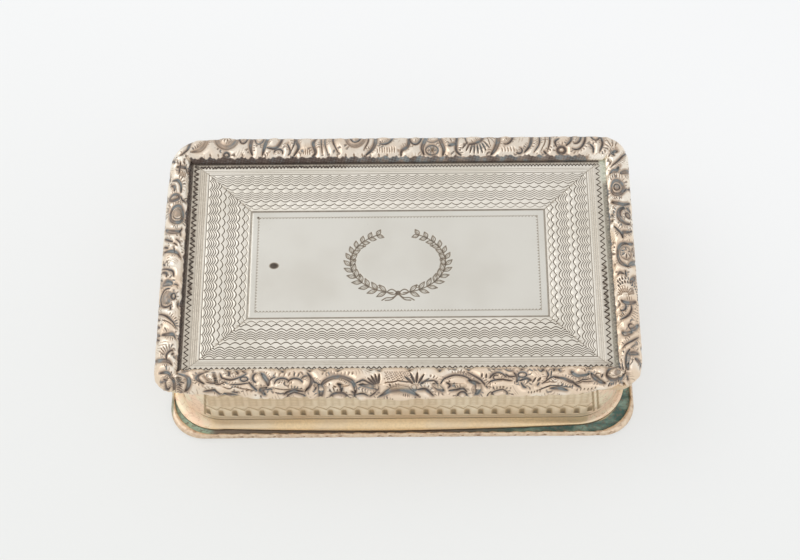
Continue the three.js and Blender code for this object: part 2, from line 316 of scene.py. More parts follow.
@dataclass(frozen=True)
class WallGilt(Metal):
    """The wall's gilding: richer and stippled in the cove, rosy and greenish at the corners."""

    cove: Colour = (250, 224, 180)
    rose: Colour = (252, 222, 194)
    leaf: Colour = (244, 232, 202)
    vein: Colour = (196, 150, 120)
    cove_level: float = 3.3
    corner_start: float = 34.2
    side_start: float = 17.9
    corner_fade: float = 0.6

    def clean(self, bench: Bench) -> Wire:
        """Adds the cove's gold and the corners' patches to the plain gilding."""
        tone = super().clean(bench)
        stipple = bench.mottle(2300.0, 2.0).ramp(0.3, 0.7)
        gold = bench.blend(stipple * 0.55, linear(*self.cove), linear(*(0.9 * c for c in self.cove)))
        low = 1.0 - bench.axis("Z").ramp(self.cove_level - 0.3, self.cove_level + 0.2)
        worn = 0.35 + 0.65 * bench.mottle(140.0, 2.0).ramp(0.3, 0.6)
        tone = bench.blend(low * worn, tone, gold)
        blotch = bench.mottle(330.0, 5.0)
        patches = bench.blend(blotch.ramp(0.4, 0.62), linear(*self.rose), linear(*self.leaf))
        web = 1.0 - (bench.mottle(620.0, 6.0) - 0.5).size().ramp(0.0, 0.035)
        patches = bench.blend(web * 0.5, patches, linear(*self.vein))
        return bench.blend(self.corner(bench) * 0.85, tone, patches)

    def corner(self, bench: Bench) -> Wire:
        """1 at the plain corners, 0 between them."""
        shares = [
            bench.axis(axis).size().ramp(start - self.corner_fade, start + self.corner_fade)
            for axis, start in (("X", self.corner_start), ("Y", self.side_start))
        ]
        return shares[0] * shares[1]

    def dulled(self, bench: Bench) -> Wire:
        """The corners are matt."""
        return self.corner(bench) * 0.4


@dataclass(frozen=True)
class FloorSilver(Metal):
    """The base plate: clean within the walls, painted black with shade in the gap outside them, green
    at the corners.
    """

    centre_x: float = 33.2
    centre_y: float = 16.6
    foot: float = 7.6
    gap_x: float = 39.7
    gap_y: float = 23.3
    right_from: Pair = (6.0, 24.0)
    left_from: Pair = (33.2, 35.2)
    shade_and_soot: Colour = (126, 112, 98)
    left_bloom: Colour = (172, 194, 166)
    right_bloom: Colour = (74, 106, 98)
    pale: Colour = (160, 186, 168)

    def clean(self, bench: Bench) -> Wire:
        """Blackens what lies outside the wall with painted shade, in the crevice between the wall's
        foot and the rim.
        """
        return bench.blend(self.dulled(bench) * 1.25, super().clean(bench), linear(*self.shade_and_soot))

    def dulled(self, bench: Bench) -> Wire:
        """The strip outside the wall is matt."""
        across = bench.axis("X").size() - self.gap_x
        deep = bench.axis("Y").size() - self.gap_y
        return across.over(deep).ramp(0.0, 0.3) * bench.axis("Z").ramp(*FLOOR_FACE) * 0.8

    def green(self, bench: Bench) -> Wire:
        """The bloom starts where the foot's rounded corner leaves the plate bare."""
        inputs = {
            "X": (bench.axis("X").size() - self.centre_x).over(0.0),
            "Y": (bench.axis("Y").size() - self.centre_y).over(0.0),
        }
        arm = bench.node("ShaderNodeCombineXYZ", None, inputs)
        reach = bench.node("ShaderNodeVectorMath", {"operation": "LENGTH"}, {0: arm}, "Value")
        right = bench.axis("X").ramp(*self.right_from)
        left = (bench.axis("X") * -1.0).ramp(*self.left_from)
        spread = (reach + 0.5 * bench.mottle(STREAK_NOISE, 5.0)).ramp(self.foot, self.foot + 0.4)
        return spread * right.over(left) * bench.axis("Z").ramp(*FLOOR_FACE)

    def green_tone(self, bench: Bench) -> Wire:
        """Pale on the left, dark on the right."""
        side = bench.blend(
            bench.axis("X").ramp(-10.0, 10.0), linear(*self.left_bloom), linear(*self.right_bloom)
        )
        streak = bench.mottle(STREAK_NOISE, 6.0, bench.stretched((0.7, 1.6, 1.0)))
        side = bench.blend(streak.ramp(0.44, 0.66) * 0.7, side, linear(*self.pale))
        speck = bench.mottle(1500.0, 5.0, bench.stretched((1.3, 1.3, 1.0))).ramp(0.46, 0.7)
        return bench.blend(speck * 0.8, side, linear(*self.shade_and_soot))


TURNED_SILVER = Metal(
    "turned_silver", (226, 223, 213), (217, 213, 202), warm=(178, 168, 152), shade_and_tarnish=(122, 110, 96),
    cool=(116, 108, 96), deep=(66, 56, 50), bloom=(186, 192, 170), roughness=0.3, patch_scale=60.0,
    grain=0.003, lining=(232, 216, 186),
)
WAVED_SILVER = Metal(
    "waved_silver", (240, 234, 222), (230, 224, 210), warm=(186, 176, 160), shade_and_tarnish=(118, 106, 94),
    cool=(112, 104, 94), deep=(66, 56, 50), bloom=(204, 208, 188), roughness=0.32,
    patch_scale=60.0, grain=0.003, lining=(232, 216, 186),
)
CAST_SILVER = Metal(
    "scroll_silver", (248, 240, 225), (238, 217, 192), warm=(188, 166, 144), shade_and_tarnish=(132, 120, 110),
    cool=(134, 140, 140), deep=(84, 70, 62), roughness=0.32, patch_scale=240.0,
    drift=(0.001, -0.005), grain=0.006, stain=0.35, stain_colour=(228, 200, 172), metallic=0.8,
)
RIM_SILVER = Metal(
    "rim_silver", (232, 212, 186), (216, 190, 162), warm=(178, 146, 116), shade_and_tarnish=(136, 108, 84),
    cool=(112, 96, 82), deep=(80, 62, 50), roughness=0.42, patch_scale=1300.0, grain=0.014,
    stain=0.9, stain_colour=(138, 102, 78), metallic=0.75,
)
GILT = Metal(
    "worn_gilding", (226, 208, 176), (214, 190, 154), warm=(184, 160, 122), shade_and_tarnish=(142, 120, 86),
    cool=(132, 122, 96), deep=(88, 70, 50), roughness=0.3, patch_scale=130.0, grain=0.008,
    stain=0.4, stain_colour=(206, 170, 140), metallic=0.9,
)
WALL_GILT = WallGilt(
    "wall_gilding", (238, 222, 194), (228, 206, 174), warm=(192, 168, 132), shade_and_tarnish=(140, 120, 90),
    cool=(130, 116, 92), deep=(84, 68, 50), roughness=0.42, patch_scale=130.0, grain=0.008,
    stain=0.3, stain_colour=(214, 184, 152), metallic=0.68,
)
HINGE_SILVER = Metal(
    "dull_silver", (206, 198, 184), (190, 182, 168), roughness=0.36, patch_scale=300.0,
    grain=0.01, stain=0.4, stain_colour=(150, 132, 108),
)
FLOOR_SILVER = FloorSilver(
    "floor_silver", (220, 198, 156), (208, 184, 142), roughness=0.36, patch_scale=220.0, stain=0.3,
    stain_colour=(170, 140, 108), metallic=0.8,
)


class Side(Enum):
    """The four sides of the box; along runs with +X or +Y, out points away from the box."""

    FRONT = "front"
    RIGHT = "right"
    BACK = "back"
    LEFT = "left"

    @property
    def is_long(self) -> bool:
        """True for the front and the back."""
        return self in (Side.FRONT, Side.BACK)

    def spot(self, along: np.ndarray, out: np.ndarray) -> tuple[np.ndarray, np.ndarray]:
        """Turns a side's own directions into X and Y."""
        if self is Side.FRONT:
            return along, -out
        if self is Side.BACK:
            return along, out
        if self is Side.LEFT:
            return -out, along
        return out, along


def put_away() -> None:
    """Leaves edit mode and deselects everything."""
    if bpy.context.object and bpy.context.object.mode != "OBJECT":
        bpy.ops.object.mode_set(mode="OBJECT")
    bpy.ops.object.select_all(action="DESELECT")


def take_up(piece: bpy.types.Object) -> None:
    """Selects one piece alone and makes it the active one."""
    put_away()
    piece.select_set(True)
    bpy.context.view_layer.objects.active = piece


def sheet_of(name: str, points: np.ndarray) -> bpy.types.Object:
    """Adds a grid and lays its points where they belong.

    Args:
        name: name of the piece.
        points: rows by columns by 3, in mm.

    Returns:
        The piece, an open sheet.
    """
    rows, columns = points.shape[:2]
    put_away()
    bpy.ops.mesh.primitive_grid_add(
        x_subdivisions=columns - 1, y_subdivisions=rows - 1, size=1.0, calc_uvs=False
    )
    piece = bpy.context.object
    piece.name = name
    piece.data.name = name
    piece.data.vertices.foreach_set("co", (points * MM).astype(np.float32).ravel())
    piece.data.update()
    return piece


def mark(piece: bpy.types.Object, name: str, values: np.ndarray) -> None:
    """Keeps a value from 0 to 1 at each point of a mesh, for its finish to read."""
    layer = piece.data.attributes.new(name, "FLOAT", "POINT")
    layer.data.foreach_set("value", np.clip(values, 0, 1).astype(np.float32).ravel())


def close_up(piece: bpy.types.Object, weld: float = 0.002, smooth: float = 55.0) -> None:
    """Welds a sheet's seams, fills its open ends and points its faces outwards.

    Args:
        piece: the sheet.
        weld: points nearer than this, in mm, become one.
        smooth: edges sharper than this, in degrees, stay sharp.
    """
    take_up(piece)
    bpy.ops.object.mode_set(mode="EDIT")
    bpy.ops.mesh.select_mode(type="VERT")
    bpy.ops.mesh.select_all(action="SELECT")
    bpy.ops.mesh.remove_doubles(threshold=weld * MM)
    bpy.ops.mesh.dissolve_degenerate(threshold=weld * MM / 4)
    bpy.ops.mesh.select_all(action="SELECT")
    bpy.ops.mesh.fill_holes(sides=0)
    bpy.ops.mesh.normals_make_consistent(inside=False)
    bpy.ops.object.mode_set(mode="OBJECT")
    bpy.ops.object.shade_smooth_by_angle(angle=math.radians(smooth))


def soften(piece: bpy.types.Object, width: float, segments: int,
           sharper_than: float | None = None) -> None:
    """Bevels the active piece's edges.

    Args:
        piece: the piece.
        width: the bevel's width, in mm.
        segments: how many steps it has.
        sharper_than: the least angle of an edge that is bevelled, in degrees. Without it, the
            edges' own weights say which ones are.
    """
    softener = piece.modifiers.new("soft_edges", "BEVEL")
    softener.width = width * MM
    softener.segments = segments
    softener.limit_method = "WEIGHT" if sharper_than is None else "ANGLE"
    if sharper_than is not None:
        softener.angle_limit = math.radians(sharper_than)
    bpy.ops.object.modifier_apply(modifier=softener.name)


def dress(piece: bpy.types.Object, finish: Metal) -> None:
    """Gives a piece one finish in place of its materials."""
    piece.data.materials.clear()
    piece.data.materials.append(finish.material())


def hand_over(piece: bpy.types.Object, body: str, slot: str, finish: Metal, *replaced: str) -> None:
    """Dresses a finished piece, tells the frame what it rides on, hides the solids that it stands for
    and reports it.

    Args:
        piece: the piece.
        body: the body that it rides on.
        slot: not used.
        finish: its finish.
        replaced: the solids that it stands for.
    """
    dress(piece, finish)
    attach(piece, body)
    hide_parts(*replaced)
    LOG.info("%s on %s: %d faces", piece.name, body, len(piece.data.polygons))


def flowing(points: Sequence[Pair], steps: int) -> np.ndarray:
    """A smooth line through points, with a number of steps between each two."""
    given = np.array(points, float)
    if len(given) == 2:
        share = np.linspace(0, 1, steps + 1)[:, None]
        return given[0] * (1 - share) + given[1] * share
    padded = np.vstack([2 * given[0] - given[1], given, 2 * given[-1] - given[-2]])
    share = np.linspace(0, 1, steps, endpoint=False)[:, None]
    spans = []
    for before, start, end, after in zip(padded, padded[1:], padded[2:], padded[3:]):
        bend = 2 * before - 5 * start + 4 * end - after
        sway = -before + 3 * start - 3 * end + after
        spans.append(start + 0.5 * ((end - before) * share + bend * share**2 + sway * share**3))
    return np.vstack([*spans, given[-1:]])


def smooth_step(low: float, high: float, value: np.ndarray) -> np.ndarray:
    """0 below low, 1 above high and a soft rise between."""
    share = np.clip((value - low) / (high - low), 0, 1)
    return share * share * (3 - 2 * share)


def window(rise: Pair, fall: Pair, value: np.ndarray) -> np.ndarray:
    """1 between a soft rise and a soft fall, 0 before and after them."""
    return smooth_step(*rise, value) * (1 - smooth_step(*fall, value))


def swelling(count: int) -> np.ndarray:
    """How a graver's stroke widens from nothing and back to nothing, at a number of points."""
    return np.sin(np.pi * np.linspace(0, 1, count)) ** 0.6


@dataclass
class Relief:
    """Carving on the face of a piece: how deep it is cut, how far it stands up, how dark it is.

    clear is how far each point lies from the nearest cast groove, and run how far along it.
    """

    along: np.ndarray
    across: np.ndarray
    cut: np.ndarray = field(init=False)
    swell: np.ndarray = field(init=False)
    dark: np.ndarray = field(init=False)
    clear: np.ndarray = field(init=False)
    run: np.ndarray = field(init=False)
    rib_pitch: float = 0.42
    vein_pitch: float = 0.52
    flank_reach: float = 1.4
    far: float = 9.0

    def __post_init__(self) -> None:
        """Starts with a plain bright face, far from any groove."""
        self.cut = np.zeros_like(self.along)
        self.swell = np.zeros_like(self.along)
        self.dark = np.zeros_like(self.along)
        self.clear = np.full_like(self.along, self.far)
        self.run = np.zeros_like(self.along)

    def near(self, low: np.ndarray, high: np.ndarray, margin: float) -> tuple[np.ndarray, np.ndarray]:
        """Points of the face within a margin of a box, as indices."""
        inside = (
            (self.along > low[0] - margin) & (self.along < high[0] + margin)
            & (self.across > low[1] - margin) & (self.across < high[1] + margin)
        )
        return np.nonzero(inside)

    def stroke(self, line: np.ndarray, widths: np.ndarray, depth: float, tone: float,
               shoulder: float = 0.5, flanked: bool = False) -> None:
        """Cuts a groove along a line.

        Args:
            line: points of the line, in mm.
            widths: the groove's width at each point.
            depth: how deep it is.
            tone: how dark its bottom is.
            shoulder: how far its soft edge reaches.
            flanked: whether pillows and ribs go beside it.
        """
        margin = widths.max() + (self.flank_reach if flanked else 3 * shoulder)
        spots = self.near(line.min(0), line.max(0), margin)
        if not len(spots[0]):
            return
        here = np.stack([self.along[spots], self.across[spots]], -1)[:, None, :]
        start, step = line[:-1], np.diff(line, axis=0)
        length = np.maximum((step**2).sum(-1), 1e-9)
        share = np.clip(((here - start) * step).sum(-1) / length, 0, 1)
        gap = np.linalg.norm(here - start - share[..., None] * step, axis=-1)
        half = 0.5 * (widths[:-1] + share * np.diff(widths))
        best = np.argmin(gap / half, axis=1)[:, None]
        gap = np.take_along_axis(gap, best, 1)[:, 0]
        half = np.take_along_axis(half, best, 1)[:, 0]
        core = 1 - smooth_step(0.2, 1.1, gap / half)
        soft = np.exp(-((gap / (half + shoulder)) ** 2))
        self.cut[spots] = np.maximum(self.cut[spots], depth * (0.6 * core + 0.4 * soft))
        shade = np.exp(-0.9 * (gap / half) ** 2)
        floor = 1 - 0.42 * smooth_step(0.24, 0.42, half) * (1 - smooth_step(0.1, 0.65, gap / half))
        self.dark[spots] = np.maximum(self.dark[spots], tone * shade * floor)
        if flanked:
            lengths = np.sqrt(length)
            reached = np.cumsum(lengths) - lengths + share * lengths
            reached = np.take_along_axis(reached, best, 1)[:, 0]
            nearer = gap - half < self.clear[spots]
            self.clear[spots] = np.where(nearer, gap - half, self.clear[spots])
            self.run[spots] = np.where(nearer, reached, self.run[spots])

    def cast_groove(self, line: np.ndarray, width: float, swell: np.ndarray, tone: float) -> None:
        """Cuts a cast groove, deeper the broader it is; a broad one gets pillows and ribs."""
        is_flanked = width > FLANKED_FROM
        self.stroke(line, 1.25 * width * swell, 0.12 + 0.5 * width, tone, flanked=is_flanked)

    def fine_groove(self, line: Sequence, width: float, swell: Sequence[float], tone: float) -> None:
        """Cuts a short groove with narrow shoulders."""
        widths = 1.2 * width * np.array(swell)
        self.stroke(np.array(line), widths, 0.08 + 0.4 * width, tone, shoulder=0.2)

    def flank(self) -> None:
        """Adds what a cast groove has beside it: pillowed flanks, short ribs and a dark halo of painted
        shade along its edge.
        """
        clear = np.maximum(self.clear, 0)
        sway = np.sin(0.9 * self.along + 1.7 * self.across)
        reach = 1.0 + 0.35 * sway
        ribbed = smooth_step(-0.45, 0.15, np.sin(1.1 * self.along + 2.3 * self.across))
        rib = ribbed * (0.5 + 0.5 * np.cos(2 * np.pi * self.run / self.rib_pitch)) ** 2.5
        band = window((0.02, 0.15), (0.55 * reach, reach), clear)
        self.swell = np.maximum(self.swell, 0) + 0.2 * smooth_step(-0.05, 0.8, self.clear)
        fan = self.along + 0.45 * self.across + 0.35 * np.sin(0.5 * self.along + 1.2 * self.across)
        vein = (0.5 + 0.5 * np.cos(2 * np.pi * fan / self.vein_pitch)) ** 4
        vein = vein * smooth_step(0.8, 1.2, clear)
        vein = vein * smooth_step(-0.2, 0.4, np.sin(0.8 * self.along - 1.1 * self.across + 1.0))
        self.cut = self.cut + 0.09 * band * rib + 0.06 * vein
        # Painted shade: a soft dark halo along the edge of each groove
        edge = 0.36 * np.exp(-((clear / 0.32) ** 2))
        self.dark = 0.95 * np.maximum(self.dark, np.maximum(0.7 * band * rib, edge))
        self.dark = np.maximum(self.dark, 0.38 * vein)

    def height(self) -> np.ndarray:
        """How far each point moves out along the face's normal."""
        return self.swell - self.cut


@dataclass(frozen=True)
class Cut:
    """A tapered groove through a few points."""

    path: tuple[Pair, ...]
    width: float = 0.45
    tone: float = 1.0
    taper: float = 0.3

    def work(self, face: Relief) -> None:
        """Cuts the groove into a face."""
        line = flowing(self.path, 8)
        swell = self.taper + (1 - self.taper) * swelling(len(line))
        face.cast_groove(line, self.width, swell, self.tone)


@dataclass(frozen=True)
class Ring:
    """A round or oval groove, or an arc of one."""

    at: Pair
    reach: Pair
    width: float = 0.4
    start: float = 0.0
    sweep: float = 360.0
    tone: float = 1.0
    points: int = 33

    def work(self, face: Relief) -> None:
        """Cuts the ring into a face."""
        turn = np.radians(self.start + self.sweep * np.linspace(0, 1, self.points))
        line = np.stack([
            self.at[0] + self.reach[0] * np.cos(turn), self.at[1] + self.reach[1] * np.sin(turn)
        ], -1)
        is_closed = abs(self.sweep) > 359
        swell = np.ones(self.points) if is_closed else 0.35 + 0.65 * swelling(self.points)
        face.cast_groove(line, self.width, swell, self.tone)


@dataclass(frozen=True)
class Boss:
    """A rounded mound."""

    at: Pair
    reach: Pair
    rise: float = 0.2
    tone: float = 0.0

    def work(self, face: Relief) -> None:
        """Raises the mound on a face."""
        spots = face.near(np.subtract(self.at, self.reach), np.add(self.at, self.reach), 0.1)
        far = np.hypot(
            (face.along[spots] - self.at[0]) / self.reach[0],
            (face.across[spots] - self.at[1]) / self.reach[1],
        )
        dome = np.sqrt(np.clip(1 - far**2, 0, 1))
        face.swell[spots] = np.maximum(face.swell[spots], self.rise * dome)
        face.dark[spots] = np.maximum(face.dark[spots], self.tone * (dome > 0.2))


@dataclass(frozen=True)
class Rays:
    """Short grooves that spread from a point, as in a shell or a spray of leaves."""

    at: Pair
    inner: float
    outer: float
    start: float
    sweep: float
    count: int
    width: float = 0.22
    tone: float = 0.6

    def work(self, face: Relief) -> None:
        """Cuts the rays into a face."""
        for turn in np.radians(self.start + np.linspace(0, self.sweep, self.count)):
            way = np.array([math.cos(turn), math.sin(turn)])
            line = [np.add(self.at, way * far) for far in np.linspace(self.inner, self.outer, 7)]
            face.fine_groove(line, self.width, (0.5, 0.9, 1.1, 1.1, 0.9, 0.7, 0.4), self.tone)


@dataclass(frozen=True)
class Hatch:
    """A row of short parallel grooves."""

    start: Pair
    end: Pair
    count: int
    reach: Pair
    width: float = 0.2
    tone: float = 0.5

    def work(self, face: Relief) -> None:
        """Cuts the row into a face."""
        for share in np.linspace(0, 1, self.count):
            foot = np.array(self.start) * (1 - share) + np.array(self.end) * share
            line = [foot + np.array(self.reach) * part for part in np.linspace(0, 1, 5)]
            face.fine_groove(line, self.width, (0.5, 1, 1.1, 0.9, 0.5), self.tone)


@dataclass(frozen=True)
class Pits:
    """Punched ground: small pits in staggered rows."""

    low: Pair
    high: Pair
    step: float = 0.42
    tone: float = 0.7
    width: float = 0.24
    length: float = 0.05

    def work(self, face: Relief) -> None:
        """Punches the pits into a face."""
        rows = np.arange(self.low[1], self.high[1], self.step * 0.8)
        for index, across in enumerate(rows):
            first = self.low[0] + (index % 2) * self.step / 2
            for along in np.arange(first, self.high[0], self.step):
                sway = 0.08 * math.sin(7.3 * along + 3.1 * across)
                start = [along + sway, across - sway]
                line = np.array([start, [start[0] + self.length, start[1]]])
                face.stroke(line, np.full(2, self.width), 0.12, self.tone, shoulder=0.08)


Motif = Cut | Ring | Boss | Rays | Hatch | Pits

